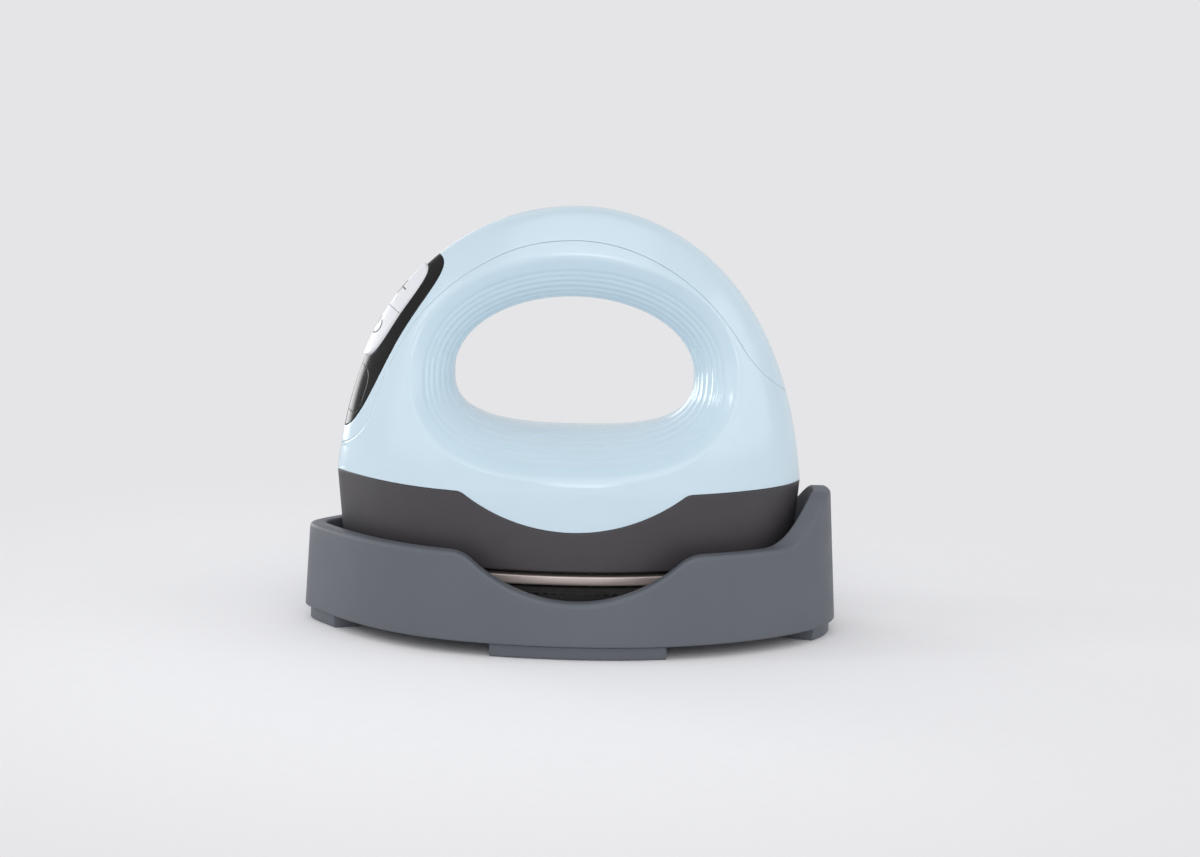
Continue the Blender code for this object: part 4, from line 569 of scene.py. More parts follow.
# Each finish: the material's name, its colour (one of the user's, or sRGB hex), roughness, the period and the height of
# its surface grain in metres, and how far roughness and colour vary; then, where they aren't 0 and 1.5, metallic and
# the IOR, with None for a metal's own.
INSIDE = (0.0006, 0.000005, 0.06, 0.12)
FINISHES = {
    # Injection-moulded ABS from a polished tool: clean gloss with the faintest unevenness in its reflections.
    "blue_shell": ("moulded_gloss_abs_light_blue", "shell", 0.15, 0.0040, 0.000004, 0.02, 0.02, 0.0, 1.53),
    # Glass-filled nylon from a spark-eroded tool: matte, with a fine even grain of about a quarter millimetre.
    "skirt_plastic": ("moulded_matte_nylon_warm_grey", "skirt", 0.50, 0.00026, 0.000010, 0.05, 0.06),
    # Heat-proof moulded plastic: matte and a little soft, with a fine grain.
    "cradle_plastic": ("moulded_matte_plastic_blue_grey", "cradle", 0.52, 0.00030, 0.000010, 0.05, 0.05),
    # Black silicone sheet: dull, with small moulded dimples (see add_dimples).
    "pad": ("moulded_black_silicone", "0A0A0B", 0.70, 0.0003, 0.000008, 0.06, 0.15, 0.0, 1.41),
    # Aluminium under a rose-taupe ceramic coating: satin, with the coating's fine mottle.
    "plate_coating": ("ceramic_coated_aluminium_rose_taupe", "plate", 0.42, 0.0005, 0.000006, 0.06, 0.06, 0.6, None),
    # Piano-black acrylic face: deep black with mirror-like gloss.
    "gloss_black": ("polished_black_acrylic", "bezel", 0.14, 0.0050, 0.000002, 0.02, 0.05, 0.0, 1.38),
    # Smoked acrylic over the display: almost black, and the smoothest surface on the press.
    "window": ("smoked_acrylic", "0A0A0C", 0.14, 0.0060, 0.000001, 0.01, 0.03, 0.0, 1.38),
    # White moulded ABS with a satin tool finish.
    "white_caps": ("moulded_satin_abs_white", "caps", 0.32, 0.0006, 0.000003, 0.03, 0.02),
    # Pad-printed grey ink: flat and slightly uneven.
    "sign_ink": ("pad_printed_grey_ink", "55565C", 0.55, 0.0003, 0.000003, 0.06, 0.10),
    # Black moulded thermoplastic, matte. The ring deep in the gap between plate and skirt also uses this finish; there
    # its black is painted shade of that gap.
    "black_plastic": ("moulded_black_thermoplastic_and_gap_shade", "1C1C1E", 0.50, 0.0004, 0.000006, 0.06, 0.12),
    # Zinc-plated steel: bright and faintly mottled.
    "steel": ("zinc_plated_steel", "B9BBBE", 0.32, 0.0008, 0.000004, 0.08, 0.12, 1.0, None),
    # Nickel-plated brass pins: smooth and a little warm.
    "pin_metal": ("nickel_plated_brass", "CBC5B6", 0.24, 0.0010, 0.000002, 0.05, 0.06, 1.0, None),
    # Parts inside the housing: ceramics, mica, circuit boards, moulded cases and wire sleeves.
    "post": ("fired_steatite_ceramic", "E9E6DD", 0.45, *INSIDE),
    "bead": ("glass_bead_sensor", "D9C9A6", 0.25, *INSIDE),
    "fuse_tube": ("fired_fuse_ceramic", "EFEDE6", 0.40, *INSIDE),
    "mica": ("pressed_mica_sheet", "A79E89", 0.40, 0.0015, 0.000010, 0.06, 0.12),
    "board": ("solder_mask_on_fibreglass", "1F5A3A", 0.35, *INSIDE),
    "relay_case": ("moulded_blue_relay_case", "2F5D93", 0.40, *INSIDE),
    "terminal": ("moulded_green_terminal", "3E7A55", 0.45, *INSIDE),
    "sleeve": ("glass_braid_sleeve", "DAD6CC", 0.70, 0.0004, 0.000030, 0.06, 0.12),
    "cable": ("soft_pvc_cable", "8C8F94", 0.50, *INSIDE),
}
CLOUD_PERIOD = 0.018
SMUDGE_PERIOD = 0.006
DIMPLE_SPACING = 0.0020
DIMPLE_DEPTH = 0.00025
FIBRE_PERIOD = 0.004

# The studio's pale tone, and the distances between which the floor goes over from real light to that tone.
STUDIO_TONE = "E5E5E7"
LIT_RADIUS, PLAIN_RADIUS = 0.085, 0.23


def material(key):
    """The material of a row in FINISHES, made once."""
    name, tone, *rest = FINISHES[key]
    made = bpy.data.materials.get(name)
    if made is None:
        made = finish(name, tuple(getattr(bpy.context.scene.press_colours, tone, ())) or linear(tone), *rest)
        if key == "pad":
            add_dimples(made.node_tree)
    return made


def finish(name, base, roughness, texture, depth, spread, shift, metallic=0.0, ior=1.5):
    """A Principled finish: colour with a faint cloudiness, uneven roughness and a surface grain as bump."""
    made = bpy.data.materials.new(name)
    made.use_nodes = True
    tree = made.node_tree
    shader = tree.nodes["Principled BSDF"]
    place = add_node(tree, "ShaderNodeTexCoord").outputs["Object"]
    cloud = grain(tree, place, CLOUD_PERIOD, 3.0)
    tone = add_node(tree, "ShaderNodeMix", {"Factor": cloud}, data_type="RGBA")
    tone.inputs["A"].default_value = (*(c * (1 - shift) for c in base), 1)
    tone.inputs["B"].default_value = (*base, 1)
    tree.links.new(tone.outputs["Result"], shader.inputs["Base Color"])
    rough = grain(tree, place, SMUDGE_PERIOD, 4.0, roughness - spread, roughness + spread)
    tree.links.new(rough, shader.inputs["Roughness"])
    height = add_node(tree, "ShaderNodeTexNoise", {"Vector": place}, Scale=1 / texture, Detail=3.0)
    bump = add_node(tree, "ShaderNodeBump", {"Height": height.outputs["Fac"]}, Strength=1.0, Distance=depth)
    tree.links.new(bump.outputs["Normal"], shader.inputs["Normal"])
    shader.inputs["Metallic"].default_value = metallic
    if ior is not None:
        shader.inputs["IOR"].default_value = ior
    made.diffuse_color = (*base, 1)
    return made


def add_dimples(tree):
    """Adds small round dimples in an even grid to a finish, over its grain."""
    place = add_node(tree, "ShaderNodeTexCoord").outputs["Object"]
    dots = add_node(tree, "ShaderNodeTexVoronoi", {"Vector": place}, Scale=1 / DIMPLE_SPACING, Randomness=0.0)
    pit = add_node(tree, "ShaderNodeMapRange", {"Value": dots.outputs["Distance"]}, From_Min=0.15, From_Max=0.35,
                   To_Min=0.0, To_Max=1.0)
    dimple = add_node(tree, "ShaderNodeBump", {"Height": pit.outputs["Result"],
                                               "Normal": tree.nodes["Bump"].outputs["Normal"]},
                      Distance=DIMPLE_DEPTH)
    tree.links.new(dimple.outputs["Normal"], tree.nodes["Principled BSDF"].inputs["Normal"])


# Operators ------------------------------------------------------------------------------------------------------

class AddCradle(bpy.types.Operator):
    """Add the grey safety cradle: tray, arched cut-outs, raised heel wall and its four feet"""

    bl_idname = "heat_press.add_cradle"
    bl_label = "Cradle and Feet"
    # The raised heel wall: half its level top, the run of each slope beside it, and where on X it starts.
    hump_half, hump_run, hump_start = 0.0035, 0.0165, 0.0445
    # The tray: its floor's thickness, the band under the wall, and the inner edge's and the floor corner's radii.
    floor_thickness, seat, round_in, corner = 0.0025, 0.0080, 0.0006, 0.0010
    # The feet: their inset and their inner edge, and where on X the side feet and the end feet stop.
    foot_outer, foot_inner = 0.0013, 0.0075
    side_stops, nose_stop, heel_stop = (-0.0165, 0.0240), -0.0525, 0.0553

    def execute(self, context):
        cradle = context.scene.press_cradle
        angle = around(480)
        settle(add_piece("cradle_shell_look", [(self.tray(cradle, angle), False, True)]), "cradle",
               "cradle_plastic", "cradle_shell")
        for node, start, end in self.feet(cradle):
            piece = add_piece(node + "_look", [(self.foot(cradle, start, end), False, True)])
            settle(piece, "cradle", "cradle_plastic", node)
        return {"FINISHED"}

    @staticmethod
    def rim_height(points, cradle):
        """Rim height at points: the arched cut-outs in the side view, and a cosine hump across the heel."""
        x, y = points[..., 0], np.abs(points[..., 1])
        rim = arched_height(x, cradle.rim, cradle.window_x, cradle.window_bottom, cradle.window_radius,
                            cradle.window_shoulder)
        share = np.clip((y - AddCradle.hump_half) / AddCradle.hump_run, 0, 1)
        hump = cradle.rim + (cradle.heel_wall - cradle.rim) * (0.5 + 0.5 * np.cos(np.pi * share))
        return np.where(x > AddCradle.hump_start, np.maximum(rim, hump), rim)

    def tray(self, cradle, angle):
        """Profile carried round the plan: underside, outer wall, rounded rim, inner wall and floor."""
        wall, round_out, round_in = cradle.wall, cradle.rounding, self.round_in
        offsets = [(round_out * (1 - math.cos(t)), round_out * (1 - math.sin(t)))
                   for t in np.radians(np.linspace(0, 90, 8))]
        offsets += [((round_out + wall - round_in) / 2, 0.0)]
        offsets += [(wall - round_in * (1 - math.cos(t)), round_in * (1 - math.sin(t)))
                    for t in np.radians(np.linspace(90, 0, 6))]
        rim = []
        for inset, drop in offsets:
            height = np.full(angle.shape, cradle.rim)
            for _ in range(6):
                height = self.rim_height(cradle_outline(angle, inset, height), cradle) - drop
            rim.append((inset, height))
        low, seat, corner, edge = cradle.foot, self.seat, self.corner, 0.0005
        under = cradle.floor - self.floor_thickness
        rows = [pole(cradle.peak_x, under, angle)]
        rows += rows_round(foot_outline, angle, [(0.020, under), (seat + 0.0006, under), (seat, under - 0.0006),
                                                 (seat, low + 0.0004), (seat - 0.0004, low)])
        rows += rows_round(foot_outline, angle, arc_pairs(edge, low + edge, edge, -90, 0)[:-1])
        rows += list(between(cradle_outline(angle, 0.0, np.full(angle.shape, low + edge)),
                             cradle_outline(angle, 0.0, rim[0][1]), 16)[:-1])
        rows += rows_round(cradle_outline, angle, rim)
        rows += list(between(cradle_outline(angle, wall, rim[-1][1]),
                             cradle_outline(angle, wall, np.full(angle.shape, cradle.floor + corner)), 10)[1:])
        rows += rows_round(cradle_outline, angle,
                           [(wall + corner * (1 - math.cos(t)), cradle.floor + corner * (1 - math.sin(t)))
                            for t in np.radians((22, 45, 68, 90))] + [(0.015, cradle.floor)])
        return np.stack(rows + [pole(cradle.peak_x, cradle.floor, angle)])

    def feet(self, cradle):
        """Each foot's node and the plan angles where it starts and ends."""
        middle = (self.foot_outer + self.foot_inner) / 2
        back, front = [math.acos((x - cradle.peak_x) / (length - inset)) for x, length, inset in
                       ((self.side_stops[1], cradle.heel, self.foot_outer),
                        (self.side_stops[0], cradle.nose, self.foot_outer))]
        nose, heel = [math.acos((x - cradle.peak_x) / (length - middle)) for x, length in
                      ((self.nose_stop, cradle.nose), (self.heel_stop, cradle.heel))]
        return [("foot_front", -front, -back), ("foot_back", back, front), ("foot_nose", nose, 2 * np.pi - nose),
                ("foot_heel", -heel, heel)]

    @staticmethod
    def foot(cradle, start, end):
        """A rounded band section carried along part of the plan, closed at both ends."""
        inner, outer, top, edge = AddCradle.foot_inner, AddCradle.foot_outer, cradle.foot - 0.0001, 0.0005
        section = arc_pairs(outer + edge, edge, edge, -90, 0) + [(outer, top - 0.0002), (outer + 0.0002, top)]
        section += [(inner - 0.0002, top), (inner, top - 0.0002)]
        section += arc_pairs(inner - edge, edge, edge, 180, 270)
        insets, heights = np.array(section).T
        ease = np.array([0.0, 0.0005, 0.0012, 0.0025, 0.5, 0.9975, 0.9988, 0.9995, 1.0])
        share = np.unique(np.concatenate([ease, np.linspace(0.01, 0.99, 41)]))
        angle = start + (end - start) * share
        rows = foot_outline(angle[:, None], insets[None, :], np.broadcast_to(heights, (len(angle), len(heights))))
        centre = rows.mean(1, keepdims=True)
        shrink = np.ones(len(angle))
        shrink[[0, -1]], shrink[[1, -2]], shrink[[2, -3]] = 0.90, 0.96, 0.99
        rows = centre + (rows - centre) * shrink[:, None, None]
        caps = [np.broadcast_to(centre[i], rows[i].shape)[None] for i in (0, -1)]
        return np.concatenate([caps[0], rows, caps[1]])


class AddRestPad(bpy.types.Operator):
    """Add the black heat-proof pad on the cradle's floor"""

    bl_idname = "heat_press.add_rest_pad"
    bl_label = "Rest Pad"

    def execute(self, context):
        cradle = context.scene.press_cradle
        angle = around(300)
        inset, low, top, edge = cradle.wall + 0.0006, cradle.floor + 0.0003, cradle.pad_top, 0.0005
        profile = [(inset, low)] + arc_pairs(inset + edge, top - edge, edge, 0, 90) + [(0.018, top)]
        rows = [pole(cradle.peak_x, low, angle), *rows_round(cradle_outline, angle, profile),
                pole(cradle.peak_x, top, angle)]
        settle(add_piece("rest_pad_look", [(np.stack(rows), False, True)]), "cradle", "pad", "rest_pad")
        return {"FINISHED"}


class AddHotPlate(bpy.types.Operator):
    """Add the coated heating plate, and a ring set deep in the gap between it and the skirt, painted black as the gap's
    shade
    """

    bl_idname = "heat_press.add_hot_plate"
    bl_label = "Heating Plate"

    def execute(self, context):
        body = context.scene.press_body
        angle = around(300)
        low, flange, top, inset, block = 0.0154, 0.0177, 0.0224, 0.0008, 0.0055
        edge, fillet = 0.0006, 0.00035
        profile = [(0.012, low)] + arc_pairs(inset + edge, low + edge, edge, -90, 0, 6)
        profile += arc_pairs(inset + fillet, flange - fillet, fillet, 0, 90)
        profile += [(block - 0.0002, flange), (block, flange + 0.0002), (block, top - 0.0003), (block + 0.0003, top)]
        rows = [pole(body.centre_x, low, angle), *rows_round(skirt_outline, angle, profile),
                pole(body.centre_x, top, angle)]
        settle(add_piece("heating_plate_look", [(np.stack(rows), False, True)]), "press", "plate_coating",
               "heating_plate")
        # The ring sits deep in the gap between plate and skirt. Its black is painted shade of that gap, on top of the
        # real shade its depth gives.
        loop = [(0.0028, 0.0182), (0.0028, 0.0218), (0.0030, 0.0220), (0.0050, 0.0220), (0.0052, 0.0218),
                (0.0052, 0.0182), (0.0050, 0.0180), (0.0030, 0.0180)]
        ring = np.stack(rows_round(skirt_outline, angle, loop))
        settle(add_piece("gap_shade_ring_look", [(ring, True, True)]), "press", "black_plastic", "gap_ring")
        return {"FINISHED"}


class AddSkirt(bpy.types.Operator):
    """Add the warm-grey skirt under the shells"""

    bl_idname = "heat_press.add_skirt"
    bl_label = "Skirt"

    def execute(self, context):
        body = context.scene.press_body
        angle = around(420)
        high = parting_heights(angle, body) - body.seam / 2
        low = np.full(angle.shape, body.skirt_bottom)
        rows = np.stack([skirt_outline(angle, 0.0, h) for h in between(low, high, 20)])
        piece = thicken(add_piece("skirt_look", [(rows, False, True)]), body.wall)
        settle(round_edges(piece, 0.00025, 3), "press", "skirt_plastic", "skirt")
        return {"FINISHED"}


class AddShells(bpy.types.Operator):
    """Add the two light-blue shells with their flared and ribbed hand hole"""

    bl_idname = "heat_press.add_shells"
    bl_label = "Shells"
    # Where the two screws go in (X and Z), their well's radii and the depths (Y) of its floor and of the seat.
    screws = ((-0.0400, 0.0420), (0.0350, 0.0410))
    well_outer, well_inner, shank, well_floor, seat = 0.0031, 0.0026, 0.0015, 0.0058, 0.0062
    # The inlet's opening: its middle (Y and Z), the radius of its ends, half their distance, and its reach on X.
    inlet, inlet_radius, inlet_half, inlet_reach = (0.0060, 0.0503), 0.0041, 0.0035, (0.0410, 0.0700)
    # The grooves between the ribs: where they lie as shares of the flare's depth, and their width as one.
    grooves, groove_width = (0.24, 0.39, 0.515, 0.625, 0.715, 0.79), 0.024

    def execute(self, context):
        body = context.scene.press_body
        sheet = self.sheet(body)
        for node, side in (("front_shell", 1), ("back_shell", -1)):
            points = sheet * np.array([1, side, 1])
            piece = wall_up(add_piece(node + "_look", [(points, False, True)], flip=side > 0), body.wall)
            tools = []
            if side < 0:
                tools = [self.inlet_tool()] + [self.screw_tool(x, z) for x, z in self.screws]
            for tool in tools:
                cut(piece, tool)
            settle(piece, "press", "blue_shell", node, tools=tools)
        self.add_screw_wells()
        return {"FINISHED"}

    @staticmethod
    def boundary(body):
        """The front shell's outer edge as points on the body, and the directions from the lip's centre.

        It runs up the nose seam, round the strip's end, over the handle beside the strip, round its other end,
        down the heel seam and back along the line above the skirt.
        """
        gap, half = body.seam / 2, body.spine / 2 + body.seam
        low, slim = body.parting + gap, body.spine_nose / 2 + body.seam
        quarter = np.linspace(math.asin(gap / slim), np.pi / 2, 22)
        nose_seam = end_points(-gap, np.linspace(low, body.spine_nose_z - slim, 9)[:-1], -1, body)
        nose_arc = end_points(-slim * np.sin(quarter), body.spine_nose_z - slim * np.cos(quarter), -1, body)
        heel_arc = end_points(-half * np.sin(quarter), body.spine_heel_z - half * np.cos(quarter), 1, body)[::-1]
        heel_seam = end_points(-gap, np.linspace(body.spine_heel_z - half, low, 26)[1:], 1, body)
        centre = np.array([body.centre_x, 0, body.waist])
        ends = [np.arctan2(*(p - centre)[[2, 0]]) for p in (nose_arc[-1], heel_arc[0])]
        turn = np.linspace(ends[0], ends[1], 122)[1:-1]
        rays = np.stack([np.cos(turn), np.zeros_like(turn), np.sin(turn)], -1)
        over = cast(centre + [0, -half, 0], rays, 0.0, CAST_REACH, body)
        for _ in range(4):
            start = centre + np.stack([0 * turn, -strip_half(over[:, 0], over[:, 2], body) - body.seam, 0 * turn], -1)
            over = cast(start, rays, 0.0, CAST_REACH, body)
        angle = np.linspace(0, -np.pi, 180)[1:-1]
        high = parting_heights(angle, body) + gap
        under = skirt_outline(angle, 0.0, high)
        parts = [nose_seam, nose_arc, over, heel_arc, heel_seam, under]
        first = [parts[i][0] for i in range(6)]
        turned = np.radians([20, 17, 0, 0, -7, -5, 20])
        aims = []
        for i, part in enumerate(parts):
            stops = np.stack([part[0], first[(i + 1) % 6]])
            lift, ahead = (stops - [body.lip_x, 0, body.lip_z])[:, [2, 0]].T
            start, end = np.arctan2(lift, ahead)
            line = np.concatenate([part, stops[1:]])
            run = np.concatenate([[0], np.cumsum(np.linalg.norm(np.diff(line, axis=0), axis=1))])
            if end > start:
                end -= 2 * np.pi
            share = run[:-1] / run[-1]
            turn = turned[i] * (1 - share) + turned[i + 1] * share
            even = start + (end - start) * share + turn
            real = np.arctan2(part[:, 2] - body.lip_z, part[:, 0] - body.lip_x) + turn
            real = even + (real - even + np.pi) % (2 * np.pi) - np.pi
            blend = {2: 0.35, 5: 0.35}.get(i, 1.0)
            aims.append(even * blend + real * (1 - blend))
        return np.concatenate(parts), np.concatenate(aims)

    def sheet(self, body):
        """Rows from the shell's outer edge over the body to the lip, round the lip, and down the flare.

        On the flare a point lies at a share f of the lip's depth and is moved out from the throat by f squared.
        Grooves between the ribs are dents across the flare.
        """
        edge, aim = self.boundary(body)
        angle = lip_angle(aim, body)
        lip = hole_outline(angle, body.lip_x, body.lip_z, body.lip_half, body.lip_rise, body.lip_drop, LIP_POWER)
        throat = hole_outline(angle, body.throat_x, body.throat_z, body.throat_half, body.throat_rise,
                              body.throat_drop, THROAT_POWER)
        depth = body_half_width(lip[:, 0], lip[:, 2], body)
        lip[:, 1] = -depth
        span = np.linalg.norm(lip - edge, axis=1)
        round_off = (body.lip_round ** -4 + (span / 2) ** -4) ** -0.25
        stop = 1 - round_off / span
        share = np.linspace(0, 1, 22)[:, None] * stop
        share = np.insert(share, 1, np.minimum(EDGE_ROW / span, share[1] / 2), axis=0)[..., None]
        rows = onto_body(edge + (lip - edge) * share, body)
        rows[0] = edge
        outward = (lip - throat) * [1, 0, 1]
        reach = np.linalg.norm(outward, axis=1)
        last = 1 - round_off / np.hypot(2 * reach, depth)
        turn = np.linspace(0, 1, 9)[1:-1, None, None]
        flare_top = throat + outward * (last ** 2)[:, None] - [0, 1, 0] * (depth * last)[:, None]
        lip_rows = rows[-1] * (1 - turn) ** 2 + lip * 2 * turn * (1 - turn) + flare_top * turn ** 2
        share = np.linspace(1, 0, 64)[:, None] * (last - body.seam / 2 / depth) + body.seam / 2 / depth
        flare = throat + outward * (share ** 2)[..., None] - np.array([0, 1, 0]) * (depth * share)[..., None]
        normal = -outward / reach[:, None] * depth[:, None] - np.array([0, 1, 0]) * (2 * share * reach)[..., None]
        normal /= np.linalg.norm(normal, axis=-1, keepdims=True)
        dent = np.zeros_like(share)
        for place in self.grooves:
            dent += np.exp(-np.abs((share - place) / self.groove_width) ** 1.5)
        flare = flare - normal * (body.rib_depth * dent)[..., None]
        return np.concatenate([rows, lip_rows, flare])

    def inlet_tool(self):
        """An upright bar with round ends through the heel of the back shell, where the mains inlet shows."""
        turn = np.linspace(0, np.pi, 17)
        lobe = np.stack([self.inlet_radius * np.cos(turn), self.inlet_half + self.inlet_radius * np.sin(turn)], -1)
        outline = np.concatenate([lobe, -lobe]) + self.inlet
        rows = [np.column_stack([np.full(len(outline), x), outline]) for x in self.inlet_reach]
        middle = [np.broadcast_to([x, *self.inlet], rows[0].shape) for x in self.inlet_reach]
        return add_piece("inlet_tool", [(np.stack([middle[0], *rows, middle[1]]), False, True)])

    @staticmethod
    def round_rows(x, z, profile, count=48):
        """A turned profile of (radius, depth) about an axis along Y."""
        turn = around(count)
        return np.stack([np.column_stack([x + r * np.cos(turn), np.full(count, y), z + r * np.sin(turn)])
                         for r, y in profile])

    def screw_tool(self, x, z):
        """A round bar from the screw's seat out through the back."""
        far = 0.0400
        rows = self.round_rows(x, z, [(0.0, self.seat), (self.well_inner, self.seat), (self.well_inner, far),
                                      (0.0, far)])
        return add_piece("screw_tool", [(rows, False, True)])

    def add_screw_wells(self):
        """The wells that lead in to the two screws, as tubes inside the back shell."""
        for number, (x, z) in enumerate(self.screws, start=1):
            out = float(body_half_width(np.array(x), np.array(z), bpy.context.scene.press_body)) - 0.0012
            rows = self.round_rows(x, z, [(self.well_outer, out), (self.well_outer, self.well_floor),
                                          (self.shank, self.well_floor), (self.shank, self.seat),
                                          (self.well_inner, self.seat), (self.well_inner, out)])
            settle(add_piece("screw_well_%d" % number, [(rows, True, True)]), "press", "blue_shell")


class AddSpineCover(bpy.types.Operator):
    """Add the light-blue strip over the handle, with the opening for the button panel"""

    bl_idname = "heat_press.add_spine_cover"
    bl_label = "Strip over the Handle"
    panel_end, opening_gap = 0.0340, 0.00015

    def execute(self, context):
        body, panel = context.scene.press_body, context.scene.press_panel
        half = body.spine / 2
        columns = half * np.sin(np.linspace(-np.pi / 2, np.pi / 2, 37))
        line = np.stack([np.full(37, self.panel_end), columns], -1)
        start = panel_surface(line)
        around_panel = self.around_panel(body, panel, line)
        heights = body.spine_heel_z - np.sqrt(np.maximum(half ** 2 - columns ** 2, 0))
        end = end_points(columns, heights, 1, body)
        centre = np.array([body.centre_x, 0, body.waist])
        begin_turn, end_turn = [np.arctan2((p - centre)[:, 2], (p - centre)[:, 0]) for p in (start, end)]
        turn = between(begin_turn, end_turn, 120)
        rays = np.stack([np.cos(turn), np.zeros_like(turn), np.sin(turn)], -1)
        strip = cast(centre + np.stack([0 * columns, columns, 0 * columns], -1) + 0 * rays, rays, 0.0, CAST_REACH, body)
        strip[0] = start
        piece = add_piece("spine_cover_look", [(around_panel, False, False), (strip[:, ::-1], False, False)])
        settle(wall_up(piece, body.wall), "press", "blue_shell", "spine_cover")
        return {"FINISHED"}

    @staticmethod
    def around_panel(body, panel, line):
        """Rows from the strip's edge in to the bezel's opening, laid out flat and carried onto the body."""
        origin, up, across, out = panel_axes(panel, body)
        slim = body.spine_nose / 2
        beta = np.linspace(np.pi / 2, -np.pi / 2, 61)
        arc = end_points(slim * np.sin(beta), body.spine_nose_z - slim * np.cos(beta), -1, body)
        arc = np.stack([(arc - origin) @ up, arc[:, 1]], -1)
        left = np.stack([np.linspace(arc[-1, 0], line[0, 0], 90)[1:-1], np.full(88, -slim)], -1)
        for _ in range(4):
            place = panel_surface(left)
            left[:, 1] = -strip_half(place[:, 0], place[:, 2], body)
        right = left[::-1] * [1, -1]
        outer = np.concatenate([line, right, arc, left, line[:1]])
        low, high = arc[30, 0], line[0, 0]
        middle = panel.bezel_u
        reach = np.where(outer[:, 0] >= middle, high - middle, middle - low)
        direction = np.arctan2(outer[:, 1] / slim, (outer[:, 0] - middle) / reach)
        gap = AddSpineCover.opening_gap
        inner = stretched_oval(direction, panel.bezel_length / 2 + gap, panel.bezel_width / 2 + gap, *BEZEL_POWERS)
        inner[:, 0] += middle
        flat = between(outer, inner, 12)
        span = np.linalg.norm(inner - outer, axis=1)[:, None]
        flat = np.insert(flat, 1, outer + (inner - outer) * np.minimum(EDGE_ROW / span, 1 / 22), axis=0)
        return panel_surface(flat)


class AddPanel(bpy.types.Operator):
    """Add the black gloss bezel and the display window"""

    bl_idname = "heat_press.add_panel"
    bl_label = "Panel and Display Window"
    # The bar between pane and caps starts this far above the pane; then the two walls and the gap round the pane.
    split_margin, bezel_wall, pane_wall, pane_gap = 0.00095, 0.0022, 0.0014, 0.00003

    def execute(self, context):
        panel = context.scene.press_panel
        split = panel.pane_u + panel.pane_length / 2 + self.split_margin
        half = (panel.bezel_length / 2, panel.bezel_width / 2)
        top, foot = panel.bezel_u + half[0], panel.bezel_u - half[0]
        holes = {True: (panel.caps_u, top, split, panel.caps_length / 2, panel.caps_width / 2, CAPS_POWERS),
                 False: (panel.pane_u, split, foot, panel.pane_length / 2, panel.pane_width / 2, PANE_POWERS)}
        grids = []
        for upper, (centre, high, low, length, width, powers) in holes.items():
            outer = self.half_outline(panel, half, split, upper)
            along = outer[:, 0] - centre
            direction = np.arctan2(outer[:, 1] / half[1],
                                   along / np.where(along >= 0, high - centre, centre - low))
            inner = stretched_oval(direction, length, width, *powers)
            inner[:, 0] += centre
            grids.append((panel_surface(between(outer, inner, 12)), False, True))
        piece = wall_along(add_piece("panel_bezel_look", grids), self.bezel_wall, self.wall_way, 0.00010, 3)
        settle(piece, "press", "gloss_black", "panel_bezel")
        rim = stretched_oval(around(160), panel.pane_length / 2 - self.pane_gap, panel.pane_width / 2 - self.pane_gap,
                             *PANE_POWERS)
        rim[:, 0] += panel.pane_u
        centre = np.broadcast_to([panel.pane_u, 0.0], rim.shape)
        pane = panel_surface(between(rim, centre, 24))
        piece = thicken(add_piece("display_window_look", [(pane, False, True)]), self.pane_wall)
        settle(round_edges(piece, 0.00005, 2), "press", "window", "display_window")
        return {"FINISHED"}

    @staticmethod
    def wall_way(points):
        """Out of the body, turning to straight out of the panel round the caps, so that the caps can slide."""
        body, panel = bpy.context.scene.press_body, bpy.context.scene.press_panel
        origin, up, across, out = panel_axes(panel, body)
        away = np.abs((points - origin) @ up - panel.caps_u) / (panel.caps_length / 2)
        power = CAPS_POWERS[0]
        away = away ** power + np.abs(points @ across / (panel.caps_width / 2)) ** power
        share = np.clip((1.4 - away) / 0.3, 0, 1)[:, None]
        return body_normals(points, body) * (1 - share) + out * share

    @staticmethod
    def half_outline(panel, half, split, upper):
        """The bezel's outline on one side of a line across it, closed along that line."""
        fine = around(4000)
        outline = stretched_oval(fine, half[0], half[1], *BEZEL_POWERS)
        outline[:, 0] += panel.bezel_u
        keep = outline[:, 0] > split if upper else outline[:, 0] < split
        shift = 2000 if upper else 0
        kept = np.roll(outline, shift, 0)[np.roll(keep, shift)]
        curve = even_points(kept, 181 if upper else 121)
        width = abs(np.interp(split, [kept[0, 0] - 1e-9, kept[0, 0]], [kept[0, 1]] * 2))
        curve[0], curve[-1] = (split, math.copysign(width, curve[0, 1])), (split, math.copysign(width, curve[-1, 1]))
        across = np.linspace(curve[-1, 1], curve[0, 1], 41)[1:-1]
        return np.concatenate([curve, np.stack([np.full(39, split), across], -1)])


